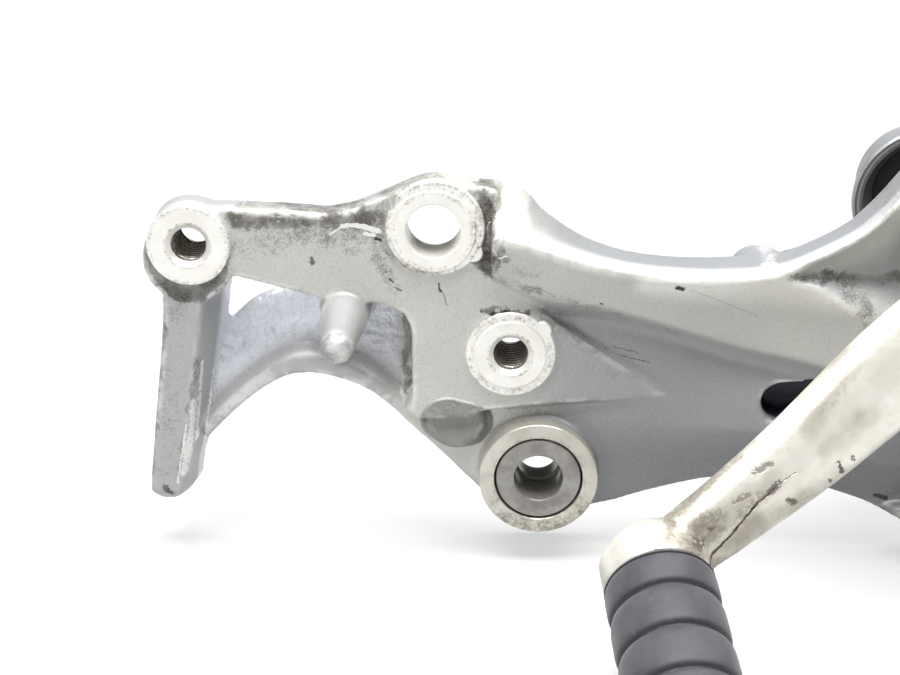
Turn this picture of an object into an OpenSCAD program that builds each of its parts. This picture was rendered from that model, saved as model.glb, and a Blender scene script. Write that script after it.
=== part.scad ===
// Left rear set of a motorcycle: cast rider footrest hanger with its gear
// lever and folding footpeg. Millimetres.
// X points to the rear of the machine, Y towards the frame of the machine
// (away from the rider's boot), Z up. The origin is the centre of the outer
// face of the plain frame bolt hole. The hanger is held by its frame bolts.

/* [Hanger bolt holes] */
// distance of the front threaded boss ahead of the plain hole
front_dx = 59; // [40:1:90]
// height of the front threaded boss, from the plain hole
front_dz = -4.2; // [-15:0.1:15]
// distance of the middle threaded boss behind the plain hole
mid_dx = 18.9; // [15:0.1:26]
// height of the middle threaded boss
mid_dz = -31.6; // [-36:0.1:-28]
// distance of the isolated lower mount behind the plain hole
low_dx = 26.2; // [20:0.1:32]
// height of the isolated lower mount
low_dz = -64.4; // [-70:0.1:-60]
// diameter of the plain frame bolt hole
plain_bore_d = 13.3; // [10.5:0.1:14]
// bore diameter of the two threaded frame bosses (M10)
thread_bore_d = 8.5; // [8.3:0.1:8.8]
// length of the front threaded boss
front_len = 17; // [12:0.5:24]
// length of the middle threaded boss
mid_len = 20; // [14:0.5:24]

/* [Isolated lower mount] */
// outside diameter of the lower boss
low_od = 29.5; // [27:0.1:34]
// diameter of the bore for the grommet
low_seat_d = 22.2; // [20:0.1:24]
// flange diameter of the steel collars
collar_flange_d = 21.2; // [18:0.1:21.6]
// bore diameter of the outer steel collar
collar_bore_d = 12; // [8:0.1:13]
// bore diameter of the inner steel collar
collar_rear_d = 10.6; // [8:0.1:11.5]
// tube diameter of the steel collars
collar_tube_d = 16; // [15:0.1:18]
// overall length of the lower mount
low_len = 18; // [14:0.5:24]

/* [Casting] */
// thickness of the front plate
plate_t = 8; // [6:0.5:11]
// how far the machined boss faces stand proud of the plate
face_proud = 1.5; // [1:0.1:2]
// thickness of the webs
web_t = 6; // [4.5:0.5:8]

/* [Rear hanging cup] */
// outside diameter of the cup
cup_od = 37.4; // [34:0.2:40]
// wall of the cup
cup_wall = 2.2; // [2:0.1:3]
// depth of the cup
cup_len = 18; // [14:0.5:24]
// bore of the sleeve in the cup
cup_sleeve_d = 8.4; // [6.5:0.1:10]

/* [Gear lever] */
// distance of the lever pivot behind the plain hole
pivot_dx = 165; // [160:1:172]
// height of the lever pivot
pivot_dz = 8; // [4:0.5:12]
// diameter of the spigot on which the lever turns
spigot_d = 20; // [19:0.5:21]
// radial play of the lever on its spigot
lever_play = 0.05; // [0.02:0.01:0.1]
// outside diameter of the lever hub
hub_od = 35; // [32:0.5:37]
// length of the lever hub
hub_len = 15; // [12:0.5:18]
// width of the arm at the hub end
arm_w_hub = 27.5; // [22:0.5:29]
// width of the arm at the toe peg
arm_w_toe = 15.5; // [13:0.5:18]
// thickness of the arm
arm_t = 9.5; // [8:0.5:12]

/* [Toe peg] */
// angle by which the toe peg droops from the boss axis
toe_droop = 19; // [10:1:22]
// angle by which the toe peg points to the rear
toe_yaw = 7; // [0:1:10]
// diameter of the core under the rubber
toe_core_d = 10; // [8:0.5:12]
// diameter of the rubber at the lever
toe_d = 25.2; // [22:0.2:27]
// diameter of the rubber at its outer end
toe_end_d = 26.2; // [22:0.2:28]
// length of the rubber
toe_len = 50; // [40:1:56]
// pitch of the grooves
toe_pitch = 11.5; // [9:0.5:14]

/* [Footpeg] */
// diameter of the clevis pin
pin_d = 8; // [6:0.5:9]
// distance of the clevis pin out from the hanger faces
pin_out = 50; // [48:0.5:54]
// width of the gap between the clevis ears
clevis_gap = 18; // [16:0.5:20]
// length of the footpeg from its pin
peg_len = 92; // [84:1:104]
// width of the footpeg rubber
pad_w = 30; // [26:1:36]
// number of ribs on the footpeg rubber
pad_ribs = 9; // [7:1:11]

/* [Hidden] */
$fn = 64;
eps = 0.01;
// radial clearance of the clevis pin in the footpeg
pin_play = 0.06;
// side clearance of the footpeg knuckles in the clevis
side_play = 0.2;
// facing clearance between parts that turn on each other
face_gap = 0.05;
plate_y0 = face_proud;
plate_y1 = face_proud + plate_t;
low_y0 = -1.5;
low_y1 = low_y0 + low_len;
cup_x = 123;
cup_z = -0.4;
cup_y0 = 29;
cup_y1 = cup_y0 + cup_len;
cup_neck = cup_od / 2 - 3.5;
cup_in = cup_od / 2 - cup_wall;
neck_in = cup_neck - cup_wall;
boss_y = -3;
hub_y1 = -6;
hub_y0 = hub_y1 - hub_len;
spig_end = hub_y0 - 1.4;
front_c = [-front_dx, front_dz];
mid_c = [mid_dx, mid_dz];
low_c = [low_dx, low_dz];
pivot_c = [pivot_dx, pivot_dz];
toe_c = [51.5, -59.7];
toe_y = -53.6;
pin_y = -pin_out;
base_y = -36;
toe_face = 6.5;
toe_boss_d = 25;
bush_d = spigot_d + 3;
seal_d = bush_d + 2.4;
ear_t = 8;
dowel_off = spigot_d / 2 - 2.4;

// a disc or tube along Y at [x, z], from y0 to y1
module ycyl(c, d, y0, y1, d2 = undef) {
  e = is_undef(d2) ? d : d2;
  translate([c[0], y0, c[1]])
    rotate([-90, 0, 0])
      cylinder(d1 = d, d2 = e, h = y1 - y0);
}

// an outline of [x, z] points filled from y0 to y1
module slab(pts, y0, y1) {
  translate([0, y1, 0])
    rotate([90, 0, 0])
      linear_extrude(y1 - y0)
        polygon(pts);
}

// a solid through rings of equal point count; fan closes a convex first ring,
// cap lists the triangles of a hollow last ring
module loft(r, fan = false, cap = []) {
  n = len(r);
  m = len(r[0]);
  side = [
    for (i = [0 : n - 2]) for (j = [0 : m - 1]) each [
      [i * m + j, i * m + (j + 1) % m, (i + 1) * m + (j + 1) % m],
      [i * m + j, (i + 1) * m + (j + 1) % m, (i + 1) * m + j]
    ]
  ];
  mid = [for (k = [0 : 2]) (min([for (p = r[0]) p[k]]) + max([for (p = r[0]) p[k]])) / 2];
  cap_a = fan ? [for (j = [0 : m - 1]) [(j + 1) % m, j, n * m]]
    : [[for (j = [m - 1 : -1 : 0]) j]];
  cap_b = len(cap) > 0 ? [for (t = cap) [for (j = t) (n - 1) * m + j]]
    : [[for (j = [0 : m - 1]) (n - 1) * m + j]];
  points = [for (s = r) each s];
  polyhedron(fan ? concat(points, [mid]) : points, concat(side, cap_a, cap_b), convexity = 6);
}

// smooth value between table entries [x, v]
function seg(t, x) = max([0, for (i = [0 : len(t) - 2]) if (t[i][0] <= x) i]);
function clampi(t, i) = t[max(0, min(len(t) - 1, i))];
function smooth(t, x) =
  let (i = seg(t, x), a = clampi(t, i - 1), b = clampi(t, i), c = clampi(t, i + 1),
       d = clampi(t, i + 2), h = c[0] - b[0], u = (x - b[0]) / h,
       mb = (c[1] - a[1]) / (c[0] - a[0]) * h, mc = (d[1] - b[1]) / (d[0] - b[0]) * h)
  (2 * u * u * u - 3 * u * u + 1) * b[1] + (u * u * u - 2 * u * u + u) * mb
  + (3 * u * u - 2 * u * u * u) * c[1] + (u * u * u - u * u) * mc;

// upper rear edge, front ridge, lower ridge, foot of the front face, bottom
rear_top = [[14, 9.6], [19, 8.8], [22.4, 7.4], [25.8, 3.1], [31.5, -1.4], [37, -4.7],
  [47.3, -8.2], [61, -9.6], [72, -9.3], [86, -7.5], [95, -3.4], [101.5, 0.8],
  [105, 4.6], [108.3, 8.5], [112, 13.6], [120, 22], [128, 27.4], [134, 30.4], [141, 33],
  [148, 34.9], [155, 36.2], [162, 36.6], [169, 36.1], [175, 34.6], [180, 32.3],
  [185, 28.2], [189, 23], [192, 16], [194.3, 8]];
front_top = [[14, 0.6], [20, -0.4], [33, -4.4], [46.4, -7.5], [66.3, -9.1], [81.5, -8.1],
  [88.5, -4.8], [95.6, -1.2], [101.6, 2.6], [105.4, 6.4], [108.8, 10.2], [120, 22]];
low_ridge = [[14, -4.5], [20, -5], [33, -8.4], [46.4, -11], [66.3, -12], [81.5, -10.2],
  [91, -11.9], [98, -15.9], [104.5, -20.2], [114, -26.5], [128, -36]];
face_foot = [[14, -12], [20, -15.5], [30.6, -18.6], [40, -19.6], [52, -22.6], [64, -26.2],
  [76, -29.9], [88, -32.6], [100, -36.2], [114, -42], [128, -49]];
bottom = [[14, -72], [20, -75], [30, -77.5], [42, -74.7], [54.7, -70.8], [67.2, -67.5],
  [80, -66.3], [90, -67], [100, -69.8], [110, -73.2], [118, -75.7], [128, -78.2],
  [134, -78.4], [141, -77], [148, -74.5], [155, -70.9], [162, -66.2], [169, -60.3],
  [175, -54], [180, -47.4], [185, -39.2], [189, -30.5], [192, -21], [194.3, -8]];
web_mid = [[14, 6.2], [20, 5.5], [30, 4.2], [45, 2.6], [59, 1.6], [80, 1.6], [128, 2]];
web_high = [[14, 5.8], [30, 4.3], [60, 3.6], [90, 3.4], [128, 4]];
pocket = [[14, 0], [82, 0], [90, 3.5], [98, 6.2], [128, 8.5]];
xs = [194.3, 192.6, 190.6, 188.7, 188.2, 185, 180, 175, 169, 162, 155, 148, 141, 134,
  128, 124, 120, 116, 112, 108, 105, 101, 97, 93, 89, 85, 81, 74, 67, 60, 53, 47, 42, 37,
  33, 29, 26, 23, 20, 17, 14];
rim_y0 = -5;
rim_y1 = 12;
rim_w = 6;
web_y0 = 4;

function mix(a, b, t) = a + (b - a) * t;
function ramp(a, b, x) = min(1, max(0, (x - a) / (b - a)));
// places behind x 100 follow the lever pivot, along and up, fully from x 134
function behind(x) = x + (pivot_dx - 165) * ramp(100, 134, x);
function lift(x) = (pivot_dz - 8) * ramp(100, 134, x);

// the long rear limb at one x: flange, raised face, web and the rim of the end
function limb(x) =
  let (rt = smooth(rear_top, x), bt = smooth(bottom, x),
       e = ramp(110, 124, x), f = ramp(118, 150, x), q = x > 188.4,
       ft = x < 120 ? smooth(front_top, x) : rt, hs = min(1, (ft - bt) / 60),
       lr = x < 128 ? smooth(low_ridge, x) : mix(ft, bt, 0.593),
       ff = x < 128 ? smooth(face_foot, x) : mix(ft, bt, 0.718),
       pk = smooth(pocket, min(x, 128)), gap = ft - lr, rw = rim_w * hs * max(e, 0.15),
       wm = smooth(web_mid, min(x, 128)), wh = smooth(web_high, min(x, 128)),
       zm = 0.45 * (ff - 4 * hs) + 0.55 * (bt + 1.2 * rw),
       front = [[3, (rt + ft) / 2 + 0.4 * (1 - e)], [-4, ft + 0.3 * (1 - e)],
         [rim_y0, ft - mix(0.8, rim_w * hs, e)],
         [mix(-4.9 + pk * 0.75, web_y0, e), mix(ft - 0.35 * gap - 0.6, ft - 6.6 * hs, e)],
         [mix(-4.7 + pk, web_y0, e), lr + 0.3 * gap],
         [mix(-4.3 + pk * 0.1, web_y0, f), lr + 0.02 * gap],
         [mix(-3.9, web_y0, f), lr - 1.2 * hs], [mix(-0.6, web_y0, f), ff + 1.5 * hs],
         [mix(1.4, web_y0, f), ff - 0.6 * hs], [mix(wh, web_y0, f), ff - 4 * hs],
         [mix(wm, web_y0, f), zm], [mix(5.4, web_y0, e), bt + rw + 0.8 * hs],
         [mix(5.5, rim_y0, e), bt + rw], [mix(5.6, rim_y0, e), bt]],
       back = [[mix(10.2, rim_y1, e), bt], [mix(10.3, rim_y1, e), bt + rw],
         [mix(10.2, web_y0 + web_t, e), bt + rw + 0.8 * hs],
         [mix(wm + web_t, web_y0 + web_t, f), zm],
         [mix(wh + web_t - 1, web_y0 + web_t, f), ff - 3 * hs],
         [mix(4.5 + pk * 0.4, web_y0 + web_t, e), lr - hs],
         [mix(5.5 + pk * 0.3, web_y0 + web_t, e), ft - mix(5.2, 6.6 * hs, e)],
         [rim_y1, rt - mix(4.6, rim_w * hs, e)], [rim_y1, rt]])
  concat([for (p = front) [behind(x), q ? rim_y0 : p[0], p[1] + lift(x)]],
         [for (p = back) [behind(x), q ? rim_y1 : p[0], p[1] + lift(x)]]);

// triangles that close the limb where it starts inside the plate
limb_cap = [[0, 1, 21], [0, 21, 22], [1, 2, 21], [2, 3, 21], [3, 20, 21], [3, 4, 20],
  [4, 5, 20], [5, 6, 20], [6, 19, 20], [6, 7, 19], [7, 8, 19], [8, 18, 19], [8, 9, 18],
  [9, 10, 17], [9, 17, 18], [10, 11, 16], [10, 16, 17], [11, 12, 15], [11, 15, 16],
  [12, 13, 14], [12, 14, 15]];

// arch between the front leg and the plate
arch_bottom = [[-59, -59.5], [-56.5, -56.5], [-48, -48], [-42, -43.3], [-36.3, -40.3],
  [-31.3, -39.6], [-24, -41], [-16.3, -44.2], [-10, -49.4], [-4, -55], [2, -60.6]];
arch_top = [[-59, -34], [-52.5, -29.6], [-48, -25], [-43.5, -21.9], [-36, -19.8],
  [-27.7, -18.5], [-20, -15], [-12, -12], [2, -10]];
ax = [-58, -55.6, -53, -50, -47, -44, -41, -38, -35, -31, -27, -23, -19, -15, -11, -7, -3, 2];
function arch(x) =
  let (b = smooth(arch_bottom, x), t = smooth(arch_top, x), k = ramp(-58, -50, x),
      q = 1.8 * ramp(-3, 2, x))
  [[x, 6.2 + q, b], [x, 5.6 + q, b + 1], [x, 5.6 + q, b + 4.2], [x, 6.8 + q, b + 5.6],
   [x, 9.6, b + 7.5], [x, mix(10.4, 12.6, k), b + 0.62 * (t - b)],
   [x, mix(10.8, 14, k), t - 1.5], [x, mix(11, 15, k), t], [x, mix(14, 18, k), t],
   [x, mix(14, 18, k), t - 2], [x, mix(13.8, 16.6, k), b + 0.6 * (t - b)],
   [x, 13.2, b + 5], [x, 12, b]];

// front leg, sections at one height
leg_l = [[-76, -72.3], [-70, -72.2], [-50, -69.8], [-30, -67.2], [-18, -66.2], [0, -66]];
leg_r = [[-76, -63.6], [-70, -63.4], [-50, -60.4], [-30, -57.4], [-18, -55.7], [0, -54]];
lz = [-6, -15, -25, -35, -45, -55, -65, -71, -73.2, -74];
function leg(z) =
  let (l = smooth(leg_l, z), r = smooth(leg_r, z), s = max(0, -71 - z),
       w = z < -60 ? 3.2 : 5.2)
  [[l + 1.2 + s * 0.6, 1.2 + s, z], [r - 1.2 - s * 0.6, 1.2 + s, z],
   [r - 0.2 - s * 0.6, 2.2 + s, z], [r + w * 0.55 - s * 0.6, 9, z],
   [r + w - s * 0.9, 15 - s, z], [l + 0.6 + s * 0.6, 15 - s, z],
   [l + s * 0.6, 9, z], [l + s * 0.6, 2.4 + s, z]];

// plate that carries the frame bosses
plate_pts = [[-60, 4.2], [-49.6, 4.8], [-37, 4.4], [-25.3, 3.6], [-19, 4.9], [-13.1, 7.5],
  [-7, 10.2], [-1, 11.4], [6.2, 11.4], [12.5, 10.6], [15.5, 9.4], [15.5, -8.7],
  [19.8, -15.2], [28.4, -22.8], [58.6, -42.6], [56, -43.2], [31.3, -45.3], [11.5, -47.6],
  [9.5, -49.6], [-5.4, -49.8], [-7.2, -47.4], [-5.4, -44], [-5.4, -26], [-7.2, -21.8], [-11, -19.8],
  [-17, -18.6], [-26.4, -18.2], [-38, -15.2], [-50, -12]];
plate_back = [[-60, 3], [-25, 2], [-12, 6], [1, 10.8], [15, 9.8], [30, -2], [30, -25], [20, -46],
  [-2, -48], [-2, -22], [-9, -17.4], [-27, -16], [-50, -10]];
lower_pts = [[-7, -42], [-8.7, -51], [-5.5, -54.2], [4.4, -64.1], [10.7, -71.1], [17, -76.6],
  [24, -77.8], [24, -44]];

module boss_bodies() {
  ycyl(front_c, 20.2, 0, front_len);
  ycyl(front_c + [-0.4, -4.2], 22.4, 1.6, front_len - 0.5);
  ycyl([0, 0], 23.9, 0.4, plate_y1 + 1);
  ycyl([0, 0], 21.6, 0, 1);
  ycyl([10.4, -6.4], 5, 0.4, plate_y1);
  ycyl(mid_c, 22, 0.4, mid_len);
  ycyl(mid_c, 17.6, 0, 1);
  ycyl(mid_c + [8.1, 7.3], 5, 0.4, plate_y1);
  ycyl(low_c, low_od, low_y0, low_y1);
  ycyl([5.4, -51.4], 14.6, 3.4, 16);
  ycyl([80.3, -17.4], 16, 2, 22);
  ycyl([-21.8, -22.3], 11.4, -1, 17, 13.4);
  ycyl([-21.8, -22.3], 7.6, -20, -1, 11.4);
  ycyl([-21.8, -22.3], 5, -22, -20, 7.6);
}

module rear_end() {
  ycyl(pivot_c, 42, boss_y, 14);
  slab([for (p = [[134, -20], [146, -20], [146, 22], [134, 18]])
    [behind(p[0]), p[1] + lift(p[0])]], 6, cup_y1);
  slab([[cup_x + 8, -13], [behind(140), -18], [behind(140), 16], [cup_x + 8, 11]],
    cup_y0 + 3, cup_y1 - 0.5);
  cup_turned([[0, 0], [cup_od / 2, 0], [cup_od / 2, 2.6], [cup_neck, 7], [cup_neck, cup_len],
    [0, cup_len]]);
}

// a solid turned about the axis of the cup; points are [radius, depth]
module cup_turned(pts) {
  translate([cup_x, cup_y0, cup_z])
    rotate([-90, 0, 0])
      rotate_extrude()
        polygon(pts);
}

module hanger_cuts() {
  ycyl(front_c, thread_bore_d, -1, front_len + 1);
  ycyl(front_c, thread_bore_d + 2.5, -0.01, 1.2, thread_bore_d);
  ycyl([0, 0], plain_bore_d, -1, 20);
  ycyl(mid_c, thread_bore_d, -1, mid_len + 1);
  ycyl(mid_c, thread_bore_d + 2.3, -0.01, 1.2, thread_bore_d);
  ycyl(low_c, low_seat_d, low_y0 - 1, low_y1 + 1);
  ycyl([80.3, -17.4], 5, 6, 23);
  ycyl(pivot_c, 10.2, boss_y - 1, 15);
  ycyl(pivot_c + [0, dowel_off], 3, boss_y - 1, boss_y + 6);
  cup_turned([[0, -1], [cup_in, -1], [cup_in, 2.8], [neck_in, 7.2], [neck_in, cup_len - 2.5],
    [10, cup_len - 2.5], [10, cup_len + 1], [0, cup_len + 1]]);
  ycyl([86, -44.6], 10, -3, 12.5);
  ycyl([100, -43], 10, -3, 12.5);
  slab([[86, -49.6], [100, -48], [100, -38], [86, -39.6]], -3, 12.5);
}

module slot_back() {
  slab([[78, -53], [80, -37], [104, -35], [107, -51]], 6, 14.5);
}

module hanger() {
  color("Silver")
    difference() {
      union() {
        slab(plate_pts, plate_y0, plate_y1);
        slab(plate_back, plate_y1 - 1, plate_y1 + 2.5);
        slab(lower_pts, 6.6, 12.3);
        loft([for (x = xs) limb(x)], true, limb_cap);
        loft([for (x = ax) arch(x)]);
        loft([for (z = lz) leg(z)]);
        slot_back();
        boss_bodies();
        rear_end();
      }
      hanger_cuts();
    }
}

module lower_grommet() {
  color("#222226")
    difference() {
      ycyl(low_c, low_seat_d, low_y0 + 2.4, low_y1 - 2.4);
      ycyl(low_c, collar_tube_d, low_y0, low_y1);
    }
}

module lower_collar_outer() {
  color("Gray")
    difference() {
      union() {
        ycyl(low_c, collar_flange_d, low_y0 + 0.3, low_y0 + 2.4);
        ycyl(low_c, collar_tube_d, low_y0 + 1, low_y0 + 11.5);
      }
      ycyl(low_c, collar_bore_d, low_y0 - 1, low_y0 + 13);
      ycyl(low_c, collar_bore_d + 1, low_y0 + 0.29, low_y0 + 0.8, collar_bore_d);
    }
}

module lower_collar_inner() {
  color("Gray")
    difference() {
      union() {
        ycyl(low_c, collar_tube_d, low_y0 + 11.5, low_y1 - 1);
        ycyl(low_c, collar_flange_d, low_y1 - 2.4, low_y1);
      }
      ycyl(low_c, collar_rear_d, low_y0 + 10, low_y1 + 1);
    }
}

module cup_grommet() {
  color("#222226")
    cup_turned([[6, 7.4], [neck_in, 7.4], [neck_in, cup_len - 2.5], [10, cup_len - 2.5],
      [10, cup_len + 1.5], [6, cup_len + 1.5]]);
}

module cup_sleeve() {
  color("Gray")
    difference() {
      ycyl([cup_x, cup_z], 12, cup_y0 + 6, cup_y1 + 2.5);
      ycyl([cup_x, cup_z], cup_sleeve_d, cup_y0, cup_y1 + 3);
    }
}

// gear lever: line of the arm as height and depth over x
arm_z = [[51.5, -60], [59.2, -54.2], [67.4, -48.5], [84.8, -38], [108, -22.4],
  [136, -6], [165, 8]];
arm_y = [[51.5, -54.4], [59.2, -52.6], [67.4, -50], [84.8, -40], [108, -26], [130, -17.5],
  [148, -14], [165, -13.5]];
gx = [53.3, 57, 61, 65, 70, 76, 83, 90, 97, 104, 111, 118, 126, 134, 142, 147, 151.6];

function arm(x) =
  let (z = smooth(arm_z, x) + lift(x), y = smooth(arm_y, x),
       a = atan2(smooth(arm_z, x + 1) + lift(x + 1) - z, behind(x + 1) - behind(x)),
       f = min(1, max(0, (x - 54) / 66)),
       h = mix(arm_w_toe, arm_w_hub, f) / 2 - ramp(144, 151.6, x) * 1.4, t = arm_t / 2)
  [for (p = [[-h, 0.2 * t], [-h + 0.4, -0.35 * t], [-h + 2.2, -0.78 * t],
     [-1.2, -1.12 * t], [h - 6.5, -t], [h - 2.8, -0.78 * t], [h - 0.6, -0.3 * t],
     [h, 0.2 * t], [h - 0.8, 0.7 * t], [h - 2.6, t], [-h + 2.6, t], [-h + 0.8, 0.7 * t]])
     [behind(x) - p[0] * sin(a), y + p[1], z + p[0] * cos(a)]];

// places children on the toe peg axis, +Z outwards
module toe_axis() {
  translate([toe_c[0], toe_y, toe_c[1]])
    rotate([0, 0, toe_yaw])
      rotate([90 + toe_droop, 0, 0])
        children();
}

link_a = 110;
link_r = 34;
link_c = [pivot_dx + link_r * cos(link_a), pivot_dz + link_r * sin(link_a)];

module link_arm() {
  translate([pivot_dx, hub_y1 - 2, pivot_dz])
    rotate([90, -link_a, 0])
      linear_extrude(10)
        polygon([[0, -12], [link_r + 1, -5.6], [link_r + 1, 5.6], [0, 12]]);
  ycyl(link_c, 13, hub_y1 - 13, hub_y1 - 2);
}

module gear_lever() {
  color("Gainsboro")
    difference() {
      union() {
        loft([for (x = gx) arm(x)]);
        ycyl(pivot_c, hub_od, hub_y0, hub_y1);
        link_arm();
        toe_axis() {
          translate([0, 0, -1.5])
            cylinder(d = toe_boss_d, h = toe_face + 1.5);
          translate([0, 0, -7.5])
            cylinder(d1 = toe_boss_d - 10, d2 = toe_boss_d - 3.4, h = 3.6);
          translate([0, 0, -4])
            cylinder(d1 = toe_boss_d - 3.6, d2 = toe_boss_d - 0.4, h = 2.6);
          translate([0, 0, 1])
            cylinder(d = toe_core_d, h = toe_face + toe_len - 4);
          translate([0, 0, toe_face + toe_len - 5])
            cylinder(d = toe_core_d + 4, h = 2.5);
        }
      }
      ycyl(pivot_c, bush_d, hub_y0 - 1, hub_y1 + 1);
      ycyl(pivot_c, seal_d, hub_y0 - 1, hub_y0 + 1.6);
      ycyl(pivot_c, seal_d, hub_y1 - 1.6, hub_y1 + 1);
      ycyl(link_c, 5, hub_y1 - 14, hub_y1);
    }
}

module lever_bush() {
  color("DarkGoldenrod")
    difference() {
      ycyl(pivot_c, bush_d, hub_y0 + 1.7, hub_y1 - 1.7);
      ycyl(pivot_c, spigot_d + 2 * lever_play, hub_y0, hub_y1);
    }
}

module ring(d_in, d_out, y0, y1) {
  difference() {
    ycyl(pivot_c, d_out, y0, y1);
    ycyl(pivot_c, d_in, y0 - 1, y1 + 1);
  }
}

module dust_seals() {
  color("#222226") {
    ring(spigot_d + 0.16, seal_d, hub_y0 + 0.1, hub_y0 + 1.5);
    ring(spigot_d + 0.16, seal_d, hub_y1 - 1.5, hub_y1 - 0.1);
  }
}

module pivot_washer() {
  color("Gray")
    ring(spigot_d + 0.3, spigot_d + 10, boss_y - 1.55, boss_y - face_gap);
}

module wave_washer() {
  color("DimGray")
    ring(spigot_d + 0.4, spigot_d + 8, hub_y1 + face_gap, boss_y - 1.6);
}

// rubber of the toe peg: ribs with narrow grooves between them
module toe_rubber() {
  n = floor((toe_len - 6) / toe_pitch);
  color("#2b2b30")
    toe_axis()
      difference() {
        translate([0, 0, toe_face])
          rotate_extrude()
            polygon(concat([[toe_core_d / 2, 0], [toe_d / 2 - 1, 0], [toe_d / 2, 1]],
              [for (i = [0 : n - 1], q = [[-0.8, 0], [-0.35, -1.3], [0.35, -1.3], [0.8, 0]])
                let (s = 9 + i * toe_pitch + q[0])
                [toe_d / 2 + (toe_end_d - toe_d) / 2 * s / toe_len + q[1], s]],
              [[toe_end_d / 2, toe_len - 5.5], [toe_end_d / 2 - 1.2, toe_len - 4],
               [toe_core_d / 2, toe_len - 4]]));
        translate([0, 0, toe_face + toe_len - 5])
          cylinder(d = toe_core_d + 4, h = 2.5);
      }
}

module linkage_stud() {
  color("Silver") {
    ycyl(link_c, 5, hub_y1 - 20, hub_y1 - 2);
    ycyl(link_c, 9, hub_y1 - 19.5, hub_y1 - 18);
    translate([link_c[0], hub_y1 - 25, link_c[1]])
      sphere(d = 9);
    ycyl(link_c, 5, hub_y1 - 25, hub_y1 - 19);
  }
}

module linkage_nut() {
  color("Silver")
    difference() {
      translate([link_c[0], hub_y1 - 17.9, link_c[1]])
        rotate([-90, 0, 0])
          cylinder(d = 11.5, h = 4.9, $fn = 6);
      ycyl(link_c, 5, hub_y1 - 20, hub_y1);
    }
}

// a rod along X at the footpeg hinge, x measured from the pivot
module xcyl(d, x0, x1) {
  translate([pivot_dx + x0, pin_y, pivot_dz])
    rotate([0, 90, 0])
      cylinder(d = d, h = x1 - x0);
}

// a box from the hinge, corners given from the pin
module hbox(a, b) {
  translate([pivot_dx + a[0], pin_y + a[1], pivot_dz + a[2]])
    cube(b - a);
}

ear_x = clevis_gap / 2;
ear_out = ear_x + ear_t;

module step_holder() {
  color("DarkGray")
    difference() {
      union() {
        ycyl(pivot_c, spigot_d, spig_end - 1, boss_y);
        ycyl(pivot_c, 36, spig_end - 7, spig_end);
        hbox([-ear_out, 0, -10], [ear_out, -pin_y + spig_end - 5, 10]);
        xcyl(20, -ear_out, ear_out);
      }
      hbox([-ear_x, -14, -14], [ear_x, -pin_y + base_y, 14]);
      xcyl(pin_d + 0.04, -ear_out - 1, ear_out + 1);
      ycyl(pivot_c, 8.5, boss_y - 17, boss_y + 1);
      ycyl(pivot_c + [0, dowel_off], 3, boss_y - 6, boss_y + 1);
    }
}

module step_bolt() {
  color("DimGray") {
    ycyl(pivot_c, 10, boss_y + 0.1, 16.5);
    ycyl(pivot_c, 8.5, boss_y - 16, boss_y + 1);
    translate([pivot_c[0], 16, pivot_c[1]])
      rotate([-90, 0, 0])
        cylinder(d = 18.5, h = 6.4, $fn = 6);
  }
}

module step_bolt_washer() {
  color("Gray")
    difference() {
      ycyl(pivot_c, 21, 14, 16);
      ycyl(pivot_c, 10.2, 13, 17);
    }
}

module step_dowel() {
  color("Gray")
    ycyl(pivot_c + [0, dowel_off], 3, boss_y - 5.8, boss_y + 5.8);
}

knuckle = ear_x - side_play;
slot_x = 4.8;
screw_ys = [-34, -peg_len + 27];

module footpeg() {
  color("Silver")
    difference() {
      union() {
        xcyl(18, -knuckle, knuckle);
        hbox([-knuckle, 5, -9], [knuckle, -pin_y + base_y - 0.1, -3]);
        hbox([-knuckle, -16, -7], [knuckle, 0, 5]);
        hbox([-knuckle - 3, -24, -7], [knuckle + 3, -14, 5]);
        hbox([-12, -peg_len + 3, -7], [12, -18, 2]);
        hbox([-9, -peg_len, -6], [9, -peg_len + 4, 1]);
      }
      xcyl(pin_d + 2 * pin_play, -20, 20);
      hbox([-slot_x, -10.2, -14], [slot_x, 20, 14]);
      hbox([-9, -peg_len + 21, -8], [9, -28, -4.5]);
      for (y = screw_ys)
        translate([pivot_dx, pin_y + y, pivot_dz - 8])
          cylinder(d = 5, h = 11);
      translate([pivot_dx, pin_y - peg_len + 9, pivot_dz - 8])
        cylinder(d = 6.8, h = 9.5);
    }
}

module footpeg_rubber() {
  y0 = -peg_len + 5;
  y1 = -25;
  step = (y1 - y0 - 4) / pad_ribs;
  w = pad_w / 2;
  color("#2b2b30")
    difference() {
      union() {
        hbox([-w, y0, -4.5], [w, y1, 7]);
        for (i = [0 : pad_ribs - 1])
          hbox([-w + 1, y0 + 2.9 + i * step, 6], [w - 1, y0 + 1.1 + (i + 1) * step, 9.5]);
      }
      hbox([-12, y0 - 1, -8], [12, y1 + 1, 2]);
    }
}

module rubber_screws() {
  color("Silver")
    for (y = screw_ys)
      translate([pivot_dx, pin_y + y, pivot_dz]) {
        translate([0, 0, -7.5])
          cylinder(d = 5, h = 9.5);
        difference() {
          translate([0, 0, -7.5])
            cylinder(d = 10, h = 3);
          translate([0, 0, -7.6])
            cylinder(d = 5, h = 1.6, $fn = 6);
        }
      }
}

module feeler_bolt() {
  color("Gray")
    translate([pivot_dx, pin_y - peg_len + 9, pivot_dz]) {
      translate([0, 0, -8])
        cylinder(d = 6.8, h = 9);
      translate([0, 0, -12])
        cylinder(d = 13, h = 5, $fn = 6);
      translate([0, 0, -24])
        cylinder(d1 = 7, d2 = 10, h = 12);
      translate([0, 0, -24])
        sphere(d = 7);
    }
}

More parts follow.
